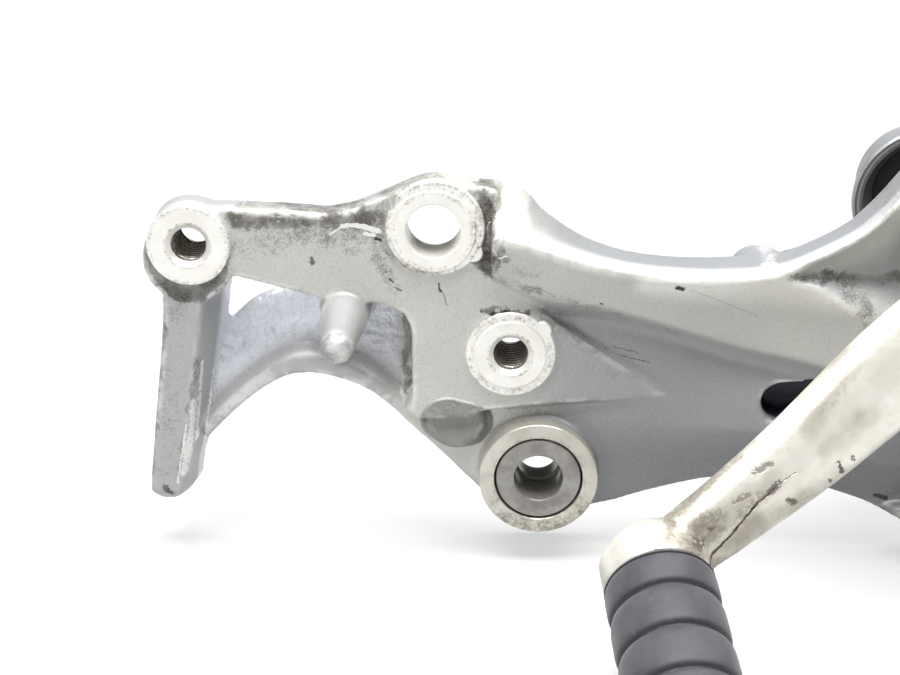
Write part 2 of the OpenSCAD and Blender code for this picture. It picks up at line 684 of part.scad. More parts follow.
module clevis_pin() {
  color("Silver")
    difference() {
      union() {
        xcyl(pin_d, -ear_out - 4, ear_out + 1);
        xcyl(pin_d + 5, ear_out + 0.05, ear_out + 3);
      }
      difference() {
        xcyl(pin_d + 2, -ear_out - 2.6, -ear_out - 1.5);
        xcyl(pin_d - 1.6, -ear_out - 3, -ear_out);
      }
    }
}

module pin_washer() {
  color("Gray")
    difference() {
      xcyl(pin_d + 7, -ear_out - 1.4, -ear_out - 0.05);
      xcyl(pin_d + 0.3, -ear_out - 2, -ear_out + 1);
    }
}

module pin_clip() {
  color("DimGray")
    difference() {
      xcyl(pin_d + 5, -ear_out - 2.5, -ear_out - 1.6);
      xcyl(pin_d - 1.6, -ear_out - 3, -ear_out);
      hbox([-ear_out - 3, -2.1, -9], [-ear_out, 2.1, 0]);
    }
}

// torsion spring round the pin: a leg, coils, a leg
wire = 1.8;
coil_r = pin_d / 2 + 0.5 + wire / 2;
turns = 3.75;
coil_x = 3.4;
function coil_p(t) =
  [pivot_dx - coil_x + 2 * coil_x * t,
   pin_y + coil_r * cos(-90 + 360 * turns * t), pivot_dz + coil_r * sin(-90 + 360 * turns * t)];
spring_path = concat(
  [[pivot_dx - coil_x, pin_y + 13, pivot_dz - coil_r],
   [pivot_dx - coil_x, pin_y + 4, pivot_dz - coil_r]],
  [for (i = [0 : 60]) coil_p(i / 60)],
  [[pivot_dx + coil_x, pin_y - coil_r, pivot_dz - 4],
   [pivot_dx + coil_x, pin_y - coil_r, pivot_dz - 6.6]]);

function unit(v) = v / max(1e-9, norm(v));
module sweep(path, d, sides) {
  n = len(path);
  loft([
    for (i = [0 : n - 1])
      let (t = unit(path[min(n - 1, i + 1)] - path[max(0, i - 1)]),
           u = [1, 0, 0], w = unit(cross(t, u)), v = unit(cross(w, t)))
      [for (k = [0 : sides - 1])
        path[i] + d / 2 * (cos(-360 * k / sides) * v + sin(-360 * k / sides) * w)]
  ]);
}

module return_spring() {
  color("Gray")
    sweep(spring_path, wire, 8);
}

hanger();
lower_grommet();
lower_collar_outer();
lower_collar_inner();
cup_grommet();
cup_sleeve();
gear_lever();
lever_bush();
pivot_washer();
wave_washer();
dust_seals();
toe_rubber();
linkage_stud();
linkage_nut();
step_holder();
step_bolt();
step_bolt_washer();
step_dowel();
footpeg();
footpeg_rubber();
rubber_screws();
clevis_pin();
pin_washer();
pin_clip();
return_spring();
feeler_bolt();
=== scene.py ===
# %% [markdown]
# # Left rear set of a motorcycle: footrest hanger, gear lever and footpeg
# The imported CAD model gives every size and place. Each cell below takes one
# piece of it and gives it the surface that the real one has: a painted
# casting with soft corners, machined faces that stay sharp, a polished lever
# and dusty rubber. Lengths are in metres, and `mm` turns millimetres into them.

# %% Load the frame
import math
import bpy
import bmesh
import numpy as np
from mathutils import Matrix, Vector


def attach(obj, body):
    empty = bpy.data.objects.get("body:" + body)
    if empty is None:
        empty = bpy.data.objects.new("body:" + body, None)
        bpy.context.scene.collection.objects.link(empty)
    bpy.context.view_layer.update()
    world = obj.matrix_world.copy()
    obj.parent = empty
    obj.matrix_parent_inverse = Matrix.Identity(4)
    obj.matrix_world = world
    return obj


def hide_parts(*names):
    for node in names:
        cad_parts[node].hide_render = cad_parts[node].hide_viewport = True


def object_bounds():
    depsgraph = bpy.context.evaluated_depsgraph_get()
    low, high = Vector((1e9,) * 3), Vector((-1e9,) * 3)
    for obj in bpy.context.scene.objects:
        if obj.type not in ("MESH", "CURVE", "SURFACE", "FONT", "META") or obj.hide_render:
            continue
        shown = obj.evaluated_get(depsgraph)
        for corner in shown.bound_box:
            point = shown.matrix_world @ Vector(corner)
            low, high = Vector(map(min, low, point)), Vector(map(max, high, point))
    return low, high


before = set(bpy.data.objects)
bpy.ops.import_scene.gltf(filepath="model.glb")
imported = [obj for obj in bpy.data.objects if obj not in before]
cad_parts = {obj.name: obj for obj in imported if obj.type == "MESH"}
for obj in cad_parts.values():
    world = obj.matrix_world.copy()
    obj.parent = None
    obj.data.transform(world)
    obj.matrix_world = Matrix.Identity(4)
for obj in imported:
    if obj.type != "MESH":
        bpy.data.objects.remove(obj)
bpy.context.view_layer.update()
mm = 0.001

# %% [markdown]
# ## Camera
# The photograph is taken from the rider's side, a little to the front of the
# middle of the hanger and about 22 degrees from above. The lens is 76 mm on
# a 36 mm wide sensor, found from how round holes turn into ellipses. The
# camera's matrix is written out, because it came from a fit and not by eye.

# %% Camera
right = Vector((0.9995, 0.0317, 0.0))
ahead = Vector((-0.0294, 0.9267, -0.3745)).normalized()
right = (right - ahead * right.dot(ahead)).normalized()
upward = right.cross(ahead)
camera_data = bpy.data.cameras.new("camera")
camera_data.lens = 76.0
camera_data.sensor_width = 36.0
camera_data.clip_start = 0.02
camera_data.clip_end = 20.0
camera = bpy.data.objects.new("camera", camera_data)
bpy.context.scene.collection.objects.link(camera)
turn = Matrix((right, upward, -ahead)).transposed()
camera.matrix_world = Matrix.Translation(Vector((17.67, -429.08, 146.34)) * mm) @ turn.to_4x4()
bpy.context.scene.camera = camera
print("camera looks down by", round(math.degrees(math.asin(-ahead.z)), 1), "degrees")

# %% [markdown]
# ## Small helpers for meshes
# A CAD node comes as loose triangles. A copy with its doubles merged can be
# bevelled, remeshed or smoothed, while the node itself is left alone. Every
# finished piece is put on its body and stands for its node.

# %% Mesh helpers
def linked(name, mesh):
    thing = bpy.data.objects.new(name, mesh)
    bpy.context.scene.collection.objects.link(thing)
    return thing


def merged_copy(node, name):
    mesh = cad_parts[node].data.copy()
    mesh.materials.clear()
    form = bmesh.new()
    form.from_mesh(mesh)
    bmesh.ops.remove_doubles(form, verts=form.verts, dist=2e-6)
    form.to_mesh(mesh)
    form.free()
    return linked(name, mesh)


def applied(thing):
    """The piece's modifiers turned into plain mesh."""
    shape = bpy.context.evaluated_depsgraph_get()
    made = bpy.data.meshes.new_from_object(thing.evaluated_get(shape))
    old = thing.data
    thing.modifiers.clear()
    thing.data = made
    bpy.data.meshes.remove(old)
    return thing


def smooth_by_angle(mesh, degrees):
    mesh.polygons.foreach_set("use_smooth", [True] * len(mesh.polygons))
    mesh.set_sharp_from_angle(angle=math.radians(degrees))


def count(thing):
    thing.data.calc_loop_triangles()
    return len(thing.data.loop_triangles)


def finished(thing, body, slot, *nodes):
    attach(thing, body)
    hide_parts(*nodes)
    print(thing.name, "rides on", body, "with", count(thing), "triangles")
    return thing


# %% [markdown]
# ## Helpers for materials
# A material is a small graph of nodes. These helpers join nodes in one line
# each, so that a finish reads as a recipe: noise, a ramp, a mask.

# %% Material helpers
class Graph:
    """A node tree with a short way to add nodes and to join them."""
    prefix = ""

    def add(self, kind, **inputs):
        node = self.tree.nodes.new(self.prefix + kind)
        for key, value in inputs.items():
            self.set(node.inputs[key.replace("_", " ")], value)
        return node

    def set(self, socket, value):
        if isinstance(value, bpy.types.NodeSocket):
            self.tree.links.new(value, socket)
        else:
            socket.default_value = value


class Finish(Graph):
    """A new material, with the steps that finishes are made of."""
    prefix = "ShaderNode"

    def __init__(self, name):
        self.material = bpy.data.materials.new(name)
        self.material.use_nodes = True
        self.tree = self.material.node_tree
        self.shader = self.tree.nodes["Principled BSDF"]
        self.place = self.tree.nodes.new("ShaderNodeTexCoord").outputs["Object"]

    def math(self, kind, a, b=0.0, clamp=False):
        node = self.tree.nodes.new("ShaderNodeMath")
        node.operation = kind
        node.use_clamp = clamp
        for socket, value in zip(node.inputs, (a, b)):
            self.set(socket, value)
        return node.outputs[0]

    def times(self, a, b):
        return self.math("MULTIPLY", a, b)

    def most(self, a, b):
        return self.math("MAXIMUM", a, b)

    def noise(self, scale, detail=3.0, rough=0.5, place=None):
        node = self.add("TexNoise", Scale=scale, Detail=detail, Roughness=rough)
        self.set(node.inputs["Vector"], place or self.place)
        return node.outputs["Fac"]

    def ramp(self, value, low, high, a=0.0, b=1.0):
        node = self.tree.nodes.new("ShaderNodeMapRange")
        node.interpolation_type = "SMOOTHSTEP"
        for key, number in (("Value", value), ("From Min", low), ("From Max", high),
                            ("To Min", a), ("To Max", b)):
            self.set(node.inputs[key], number)
        return node.outputs["Result"]

    def mix(self, amount, a, b):
        node = self.tree.nodes.new("ShaderNodeMix")
        node.data_type = "RGBA"
        self.set(node.inputs["Factor"], amount)
        self.set(node.inputs["A"], a)
        self.set(node.inputs["B"], b)
        return node.outputs["Result"]

    def bump(self, height, distance, strength=1.0, below=None):
        node = self.add("Bump", Strength=strength, Distance=distance, Height=height)
        if below is not None:
            self.set(node.inputs["Normal"], below)
        return node.outputs["Normal"]

    def attribute(self, name):
        node = self.tree.nodes.new("ShaderNodeAttribute")
        node.attribute_name = name
        return node.outputs["Fac"]

    def stroke(self, place, a, b, width, soft):
        """1 on a straight mark from a to b, seen along Y; a and b are (x, z) in mm."""
        ax, az, bx, bz = a[0] * mm, a[1] * mm, b[0] * mm, b[1] * mm
        dx, dz = bx - ax, bz - az
        square = max(dx * dx + dz * dz, 1e-12)
        parts = self.add("SeparateXYZ", Vector=place).outputs
        px = self.math("SUBTRACT", parts["X"], ax)
        pz = self.math("SUBTRACT", parts["Z"], az)
        along = self.math("ADD", self.times(px, dx / square), self.times(pz, dz / square), clamp=True)
        ex = self.math("SUBTRACT", px, self.times(along, dx))
        ez = self.math("SUBTRACT", pz, self.times(along, dz))
        away = self.math("SQRT", self.math("ADD", self.times(ex, ex), self.times(ez, ez)))
        return self.ramp(away, width * mm, (width + soft) * mm, 1.0, 0.0)

    def broken(self, mask, fine, coarse, low=0.36, high=0.98, bite=1.9):
        """A soft mask whose border falls apart into specks; bite is how deep they go."""
        blotch = 0.7
        total = self.math("ADD", mask, self.times(self.math("SUBTRACT", fine, 0.5), bite))
        total = self.math("ADD", total, self.times(self.math("SUBTRACT", coarse, 0.5), blotch))
        return self.ramp(total, low, high)

    def marks(self, place, strokes):
        """The strongest of several strokes at each point."""
        best = None
        for a, b, width, soft, amount in strokes:
            one = self.times(self.stroke(place, a, b, width, soft), amount)
            best = one if best is None else self.most(best, one)
        return best

    def jittered(self, scale, reach):
        """The place pushed about by noise, so that a mark gets a ragged edge."""
        node = self.add("TexNoise", Scale=scale, Detail=3.0, Roughness=0.6)
        self.set(node.inputs["Vector"], self.place)
        centred = self.add("VectorMath")
        centred.operation = "SUBTRACT"
        self.set(centred.inputs[0], node.outputs["Color"])
        centred.inputs[1].default_value = (0.5, 0.5, 0.5)
        push = self.add("VectorMath")
        push.operation = "MULTIPLY_ADD"
        self.set(push.inputs[0], centred.outputs["Vector"])
        push.inputs[1].default_value = (reach, reach, reach)
        self.set(push.inputs[2], self.place)
        return push.outputs["Vector"]

    def shape(self, **inputs):
        for key, value in inputs.items():
            self.set(self.shader.inputs[key.replace("_", " ")], value)
        return self.material


def tint(red, green, blue):
    """A colour as read from the photograph, 0 to 255, turned linear."""
    def line(v):
        v /= 255.0
        return v / 12.92 if v <= 0.04045 else ((v + 0.055) / 1.055) ** 2.4
    return (line(red), line(green), line(blue), 1.0)


# %% [markdown]
# ## Painted casting
# The hanger is an aluminium casting under a silver paint with a fine metal
# flake. The paint shows orange peel on its broad webs, dark road grime round
# the plain bolt hole, hollows darkened by dirt and painted shade, and bare
# bright metal where boots and tools have rubbed its edges. Light and shade are
# painted into its colour as well: faces that look up on the rear part are
# lighter, the ridge of the rear flange has a painted highlight, the far web
# has painted light, and the low web (darker towards the bottom), the stub, the
# leg, the arch and the step of the front boss have painted shade. Two mesh
# attributes, made further down, tell the shader where the surface is hollow
# and where it is an edge.

# %% Tones of the paint, with painted light and shade
def paint_tones_and_light(f, patch, far, rough_cast):
    """The colour of the paint region by region, with light and shade painted in."""
    parts = f.add("SeparateXYZ", Vector=f.place).outputs
    colour = f.mix(f.ramp(patch, 0.3, 0.7), tint(199, 199, 194), tint(209, 208, 202))
    # painted shade: the leg and the arch web behind the plate are darker
    leg_shade = f.times(f.ramp(parts["X"], -0.049, -0.053), f.ramp(parts["Z"], -0.012, -0.017))
    arch = f.times(f.ramp(parts["X"], -0.008, -0.012), f.ramp(parts["Y"], 0.0035, 0.006))
    colour = f.mix(f.times(f.most(leg_shade, arch), 0.9), colour, tint(178, 179, 181))
    # painted shade on the stub, whose top would otherwise catch the light
    stub_shade = f.stroke(f.place, (-21.4, -20.6), (-21.8, -26.0), 4.2, 1.6)
    colour = f.mix(f.times(stub_shade, 0.9), colour, tint(158, 159, 160))
    # painted light: faces that look up, on the rear part, are lighter
    skyward_light = f.add("SeparateXYZ", Vector=f.add("NewGeometry").outputs["Normal"]).outputs["Z"]
    skyward_light = f.times(f.ramp(skyward_light, 0.5, 0.85), f.ramp(parts["X"], 0.03, 0.05, 0.0, 0.7))
    colour = f.mix(skyward_light, colour, tint(228, 231, 240))
    # painted shade on the low web, darker towards the bottom
    low_web_shade = f.times(f.ramp(parts["Y"], -0.001, 0.0022), f.ramp(parts["X"], 0.016, 0.034))
    low_web_shade_tone = f.mix(f.ramp(parts["Z"], -0.04, -0.062), tint(156, 158, 161), tint(117, 119, 123))
    colour = f.mix(f.times(low_web_shade, 0.9), colour, low_web_shade_tone)
    # painted highlight along the front face of the rear flange's ridge
    ridge_highlight = f.times(f.stroke(f.place, (54.0, -12.5), (112.0, -12.5), 3.0, 5.0),
                    f.ramp(parts["Y"], -0.0022, -0.0045, 0.0, 0.95))
    colour = f.mix(ridge_highlight, colour, tint(244, 243, 237))
    colour = f.mix(f.times(rough_cast, 0.9), colour, tint(160, 160, 156))
    # painted light: the far web is lifted almost to white
    return f.mix(f.times(far, 0.9), colour, tint(244, 247, 255))


# %% Wear, dirt and painted shade of the paint
def paint_grime_and_shade(f, patch, cloud, fine):
    """Road dirt on the marks below, painted shade round the front boss, dirt and painted shade in
    hollows, and thin dirt all over.
    """
    loose = f.jittered(230.0, 0.0055)
    hollow = f.times(f.ramp(f.attribute("hollow"), 0.12, 0.8), 0.5)
    # dirt together with painted shade: the marks, the darkened hollows and thin dirt all over
    dirt_and_shade = f.most(f.most(f.marks(loose, GRIME_AND_SHADE), hollow), f.ramp(patch, 0.45, 0.7, 0.06, 0.26))
    return f.times(f.broken(dirt_and_shade, fine, cloud), f.ramp(cloud, 0.36, 0.6, 0.62, 0.95))


def paint_bare(f, cloud, fine, ragged):
    """Where the paint is rubbed through: on edges, less on the low ones, and on marks."""
    edge = f.times(f.ramp(f.attribute("edge"), 0.3, 0.8), f.ramp(f.noise(260.0, 4.0, 0.6), 0.4, 0.6))
    height = f.add("SeparateXYZ", Vector=f.place).outputs["Z"]
    edge = f.times(edge, f.ramp(height, -0.062, -0.045, 0.15, 1.0))
    return f.most(f.times(edge, 0.6), f.broken(f.marks(ragged, BARE), fine, cloud, 0.45, 0.85))


# %% Painted casting
def painted_casting():
    f = Finish("painted_casting")
    grain = f.noise(2300.0, 3.0, 0.65)
    speck = f.noise(800.0, 5.0, 0.7)
    cloud = f.noise(150.0, 4.0, 0.6)
    patch = f.noise(38.0, 4.0, 0.55)
    fine = f.times(f.math("ADD", speck, grain), 0.5)
    parts = f.add("SeparateXYZ", Vector=f.place).outputs
    # far marks the far web, which gets painted light and orange peel
    far = f.times(f.ramp(parts["Y"], 0.0085, 0.0115), f.ramp(parts["X"], -0.005, -0.012))
    rough_cast = f.stroke(f.place, (3.6, -51.0), (7.4, -52.0), 6.5, 1.0)
    colour = paint_tones_and_light(f, patch, far, rough_cast)
    colour = f.mix(f.ramp(grain, 0.5, 0.72, 0.0, 0.34), colour, tint(140, 138, 133))
    colour = f.mix(f.ramp(grain, 0.48, 0.3, 0.0, 0.16), colour, tint(230, 230, 227))
    grime_and_shade = paint_grime_and_shade(f, patch, cloud, fine)
    # the dark colour of dirt and of painted shade
    soil_and_shade = f.mix(f.ramp(fine, 0.4, 0.62), tint(46, 44, 42), tint(126, 121, 113))
    colour = f.mix(grime_and_shade, colour, soil_and_shade)
    ragged = f.jittered(900.0, 0.0012)
    bare = paint_bare(f, cloud, fine, ragged)
    colour = f.mix(bare, colour, tint(242, 242, 238))
    chip = f.marks(ragged, CHIPS)
    colour = f.mix(chip, colour, tint(56, 52, 52))
    slot = f.times(f.stroke(f.place, (86.0, -44.6), (100.0, -43.1), 5.3, 0.5),
                   f.ramp(parts["Y"], 0.0035, 0.006))
    colour = f.mix(slot, colour, tint(46, 50, 62))
    normal = f.bump(f.noise(520.0, 2.0, 0.4), 0.00016, 0.4)
    normal = f.bump(f.noise(1400.0, 3.0, 0.6), 0.00006, 0.5, normal)
    normal = f.bump(f.times(f.noise(380.0, 2.0, 0.45), far), 0.0014, 0.75, normal)
    normal = f.bump(f.times(f.noise(420.0, 5.0, 0.75), rough_cast), 0.0022, 0.8, normal)
    normal = f.bump(f.times(chip, -1.0), 0.0002, 0.6, normal)
    rough = f.math("ADD", f.ramp(patch, 0.3, 0.7, 0.42, 0.5), f.times(grime_and_shade, 0.3))
    rough = f.math("SUBTRACT", rough, f.times(bare, 0.12))
    return f.shape(Base_Color=colour, Metallic=0.3, Roughness=rough, Normal=normal,
                   Coat_Weight=0.1, Coat_Roughness=0.3)


# %% [markdown]
# Marks are written down as strokes: a start, an end, a half width, a soft
# margin and a strength. All but the strength are in millimetres, as (x, z) on
# the hanger's front, and they are where the photograph shows them.

# %% Places of grime, painted shadow and chips
GRIME_AND_SHADE = [
    # painted shadow of the front boss's step: this ring and the one at (-59.4, -9.0)
    ((-60.2, -7.2), (-60.2, -7.4), 9.6, 2.4, 0.8),
    ((-46.3, 2.2), (-16.0, 2.8), 1.2, 3.8, 0.86),
    ((-50.0, -4.0), (-20.0, -3.0), 1.5, 7.0, 0.46),
    ((-36.0, -0.4), (-13.0, 1.0), 2.0, 6.5, 0.6),
    ((-14.2, 3.0), (-13.6, -7.0), 0.4, 4.6, 0.66),
    ((-3.0, 1.6), (-3.2, 1.6), 10.6, 2.4, 0.72),
    ((-13.0, -9.0), (-9.0, -15.0), 0.6, 3.0, 0.5),
    ((12.6, 9.6), (13.2, -9.0), 1.3, 3.0, 1.15),
    ((14.6, 1.0), (17.0, -5.0), 0.8, 2.6, 0.7),
    ((7.0, 9.6), (9.5, 9.0), 0.4, 1.4, 0.8),
    ((15.6, -8.0), (24.0, -9.5), 0.3, 3.0, 0.55),
    ((15.0, -11.0), (34.0, -18.0), 0.5, 2.6, 0.62),
    ((34.0, -18.0), (60.0, -25.5), 0.3, 1.6, 0.5),
    ((33.0, -31.6), (46.0, -38.6), 0.2, 2.0, 0.42),
    ((12.0, -20.4), (22.5, -21.0), 0.2, 1.2, 0.95),
    # painted shadow of the front boss's step, on its lower side
    ((-59.4, -9.0), (-59.2, -9.4), 9.2, 2.2, 0.92),
    ((-62.0, -20.0), (-66.0, -30.0), 1.0, 3.5, 0.4),
    ((-66.6, -24.0), (-72.0, -66.0), 0.2, 2.0, 0.72),
    ((-68.0, -69.6), (-66.6, -71.4), 0.6, 1.2, 1.0),
    ((-64.0, -24.0), (-67.0, -64.0), 1.5, 6.0, 0.42),
    ((-58.4, -34.0), (-64.4, -66.0), 0.2, 1.5, 0.62),
    ((-7.0, -24.0), (-7.0, -44.0), 0.5, 1.6, 0.8),
    ((0.0, -50.0), (9.5, -54.0), 1.0, 6.0, 0.4),
    ((86.0, -9.5), (112.0, -11.4), 0.5, 2.6, 0.75),
    ((99.0, -13.6), (106.0, -21.0), 1.0, 4.0, 0.66),
    ((92.0, 1.0), (108.0, 10.0), 0.6, 3.4, 0.5),
    ((24.0, -11.0), (70.0, -18.0), 2.0, 6.0, 0.22),
]
BARE = [
    ((13.5, 2.4), (12.9, 0.2), 0.02, 0.16, 1.0),
    ((14.4, -2.4), (15.4, -4.6), 0.02, 0.16, 1.0),
    ((16.0, -4.9), (17.6, -4.4), 0.05, 0.5, 0.9),
    ((-16.2, -1.2), (-14.2, -1.4), 0.3, 0.5, 1.0),
    ((-59.8, -46.0), (-63.4, -66.0), 0.1, 1.9, 0.8),
    ((-57.6, -36.0), (-60.4, -58.0), 0.05, 0.8, 0.8),
    ((-55.8, -40.0), (-58.6, -60.0), 0.05, 0.7, 0.75),
    ((-42.0, 6.0), (-30.0, 4.6), 0.1, 0.5, 0.6),
    ((-46.0, 4.6), (-36.0, 2.6), 0.02, 0.2, 0.7),
    ((80.0, -8.0), (94.0, -14.6), 0.5, 2.6, 0.6),
    ((-26.2, -28.2), (-23.4, -30.4), 0.6, 0.5, 1.0),
    ((-23.4, -30.4), (-20.4, -29.6), 0.5, 0.5, 1.0),
    ((-24.8, -1.4), (-21.8, 0.8), 0.05, 0.3, 1.0),
    ((-21.8, 0.8), (-18.0, 1.0), 0.4, 0.35, 1.1),
    ((-18.0, 1.0), (-13.2, -0.4), 0.5, 0.4, 1.1),
    ((-62.0, -52.0), (-65.0, -68.0), 0.05, 0.6, 0.8),
]
CHIPS = [
    ((58.3, -11.8), (59.6, -12.3), 0.42, 0.3, 1.0),
    ((61.3, -12.3), (78.3, -19.8), 0.02, 0.12, 0.34),
    ((-13.9, -2.4), (-12.6, -2.6), 0.2, 0.3, 1.0),
    ((-10.6, -12.6), (-9.6, -13.4), 0.12, 0.2, 0.8),
    ((-9.2, -15.0), (-7.6, -15.4), 0.1, 0.2, 0.8),
    ((1.2, -13.6), (1.8, -15.8), 0.14, 0.2, 0.9),
    ((2.2, -16.0), (3.4, -19.2), 0.05, 0.12, 0.6),
    ((14.0, -21.2), (14.8, -21.0), 0.2, 0.3, 1.0),
    ((16.6, -20.6), (18.2, -20.3), 0.22, 0.3, 1.0),
    ((21.0, -20.9), (22.6, -21.4), 0.14, 0.25, 0.9),
    ((111.6, -70.6), (114.2, -71.2), 0.4, 0.4, 1.0),
    ((44.0, -30.4), (50.0, -31.8), 0.05, 0.15, 0.6),
    ((46.0, -32.6), (53.0, -34.4), 0.05, 0.15, 0.6),
    ((40.2, -17.4), (40.7, -17.5), 0.12, 0.2, 1.0),
    ((-29.4, -7.6), (-29.2, -8.8), 0.3, 0.35, 0.8),
]
painted = painted_casting()
print("painted casting:", len(painted.node_tree.nodes), "nodes")

# %% [markdown]
# ## Machined aluminium
# The boss faces are turned flat after painting, so they are bare, almost
# white, with fine rings round each hole. Each turned piece carries its own
# distance from its axis as an attribute, and the rings follow that.

# %% Machined aluminium
RING_PITCH = 0.22 * mm


def machined_metal(name, light, dark, low, high, metallic=0.85, dirty=0.3, rim=(), shade_fall=None):
    """low and high are the limits of roughness. rim lists (radius, half width, amount)
    of stained rings, in mm. The last argument gives the height where painted shade
    starts, the height where it is full, and its amount: the face is darker towards the bottom."""
    f = Finish(name)
    away = f.attribute("away")
    wobble = f.noise(90.0, 3.0)
    rings = f.math("SINE", f.math("ADD", f.times(away, 2 * math.pi / RING_PITCH), f.times(wobble, 6.0)))
    patch = f.noise(160.0, 5.0, 0.7)
    speck = f.noise(1100.0, 4.0, 0.7)
    colour = f.mix(f.ramp(patch, 0.35, 0.68), light, dark)
    stain_and_shade = f.ramp(patch, 0.4, 0.75, 0.0, dirty)
    for radius, width, amount in rim:
        off = f.math("ABSOLUTE", f.math("SUBTRACT", away, radius * mm))
        stain_and_shade = f.most(stain_and_shade, f.ramp(off, 0.3 * width * mm, width * mm, amount, 0.0))
    # painted shade: darker towards the bottom
    if shade_fall:
        height = f.add("SeparateXYZ", Vector=f.place).outputs["Z"]
        stain_and_shade = f.most(stain_and_shade, f.ramp(height, shade_fall[0] * mm, shade_fall[1] * mm, 0.0, shade_fall[2]))
    stain_and_shade = f.broken(stain_and_shade, speck, patch, 0.36, 0.95, 1.2)
    colour = f.mix(stain_and_shade, colour, tint(112, 104, 92))
    normal = f.bump(rings, 0.000008, 0.5)
    normal = f.bump(f.noise(1100.0, 3.0), 0.00002, 0.35, normal)
    return f.shape(Base_Color=colour, Metallic=metallic,
                   Roughness=f.ramp(patch, 0.3, 0.7, low, high), Normal=normal)


bright_face = machined_metal("machined_face", tint(252, 251, 246), tint(246, 244, 236), 0.36, 0.5,
                             metallic=0.4, dirty=0.26,
                             rim=((11.7, 1.9, 0.54), (9.8, 1.6, 0.46), (5.6, 0.7, 0.5)))
# the lower face is painted darker towards its bottom: painted shade
lower_face = machined_metal("machined_lower_face", tint(206, 203, 193), tint(186, 183, 173), 0.36,
                            0.5, metallic=0.6, dirty=0.34, rim=((11.6, 0.5, 0.45),),
                            shade_fall=(-58.0, -78.0, 0.62))
collar_steel = machined_metal("collar_steel", tint(158, 156, 151), tint(134, 131, 127), 0.34, 0.5,
                              metallic=0.6, dirty=0.46)
plain_steel = machined_metal("plain_steel", tint(178, 176, 172), tint(140, 138, 134), 0.3, 0.5)
zinc_steel = machined_metal("zinc_steel", tint(200, 200, 196), tint(172, 171, 164), 0.25, 0.42)
dark_steel = machined_metal("spring_steel", tint(120, 120, 122), tint(84, 84, 88), 0.3, 0.48)
bronze = machined_metal("sintered_bronze", tint(196, 170, 120), tint(164, 138, 92), 0.4, 0.55)
forged = machined_metal("forged_alloy", tint(208, 209, 208), tint(182, 183, 183), 0.34, 0.5,
                        metallic=0.9, dirty=0.2)


def thread_metal():
    """Bright on the crests of the thread, brown and dark in its roots."""
    f = Finish("thread_metal")
    deep = f.attribute("away")
    rust = f.noise(900.0, 4.0, 0.6)
    colour = f.mix(f.ramp(deep, 0.1, 0.55), tint(226, 222, 212), tint(52, 45, 38))
    colour = f.mix(f.ramp(rust, 0.5, 0.75, 0.0, 0.6), colour, tint(96, 76, 58))
    return f.shape(Base_Color=colour, Metallic=0.8, Roughness=f.ramp(rust, 0.3, 0.7, 0.25, 0.5))


thread_wall = thread_metal()
print("metals:", bright_face.name, collar_steel.name, plain_steel.name, zinc_steel.name)

# %% [markdown]
# ## Polished casting
# The gear lever is a polished casting under a clear coat that has gone a
# little yellow. It has long brushed scratches, a dark line where the coat
# has cracked, and dark pits along its lower edge. Painted shade darkens its
# neck, its lower flank, its upper left edge, its upper end, its hollows and
# the top of the toe dome.

# %% Polished casting
CRACK = [
    ((62.0, -57.0), (72.4, -45.8), 0.2, 0.24, 1.0),
    ((72.4, -45.8), (77.6, -42.0), 0.2, 0.24, 1.0),
    ((77.6, -42.0), (82.4, -39.6), 0.06, 0.14, 0.8),
]
PITS = [
    ((76.6, -42.6), (78.4, -41.4), 0.55, 0.7, 0.9),
    ((73.0, -38.4), (76.6, -37.0), 0.4, 0.8, 0.75),
    ((68.6, -43.6), (71.6, -42.8), 0.3, 0.8, 0.7),
    ((59.6, -51.0), (61.4, -52.2), 0.35, 0.4, 0.9),
    ((63.2, -49.2), (64.0, -48.8), 0.25, 0.4, 0.8),
    ((81.0, -45.6), (82.6, -46.6), 0.4, 0.6, 0.85),
    ((92.6, -39.6), (93.8, -42.0), 0.35, 0.35, 0.95),
    ((96.0, -39.0), (96.6, -39.8), 0.25, 0.3, 0.9),
    ((90.6, -43.0), (91.0, -43.6), 0.15, 0.3, 0.8),
    ((62.4, -57.4), (64.8, -59.6), 0.5, 1.0, 0.75),
    ((66.0, -58.4), (67.6, -58.0), 0.3, 0.8, 0.6),
    ((70.0, -46.4), (74.0, -43.4), 0.4, 1.6, 0.42),
]
SHADE = [
    ((43.0, -60.0), (57.0, -57.0), 1.0, 6.0, 0.62),
    ((50.0, -51.0), (70.0, -36.5), 0.4, 2.6, 0.7),
    ((70.0, -36.5), (84.0, -20.5), 0.2, 2.0, 0.5),
    ((60.0, -57.0), (96.0, -42.0), 0.3, 3.0, 0.36),
    ((55.6, -53.4), (64.0, -48.0), 1.5, 4.6, 0.74),
    ((88.0, -30.0), (96.0, -20.0), 0.6, 4.0, 0.4),
    ((62.0, -58.0), (70.0, -57.0), 0.6, 2.6, 0.7),
    ((62.0, -54.0), (80.0, -40.0), 0.6, 3.2, 0.42),
    ((66.0, -44.0), (84.0, -32.0), 0.6, 3.0, 0.36),
]
# Painted shade on the lever, soft-edged: its neck, its lower flank, its upper left edge and its upper
# end.
SOFT_SHADE = [
    ((62.0, -59.0), (74.0, -51.0), 1.6, 4.0, 0.85),
    ((74.0, -51.0), (94.0, -43.0), 0.6, 3.6, 0.6),
    ((52.0, -55.0), (62.0, -51.0), 2.0, 5.0, 0.62),
    ((62.0, -51.0), (76.0, -41.0), 0.8, 4.0, 0.42),
    ((86.0, -30.0), (94.0, -18.0), 0.6, 4.0, 0.5),
    ((90.0, -36.0), (100.0, -30.0), 0.6, 4.0, 0.4),
    ((54.0, -48.6), (72.0, -33.0), 0.4, 1.6, 0.62),
]


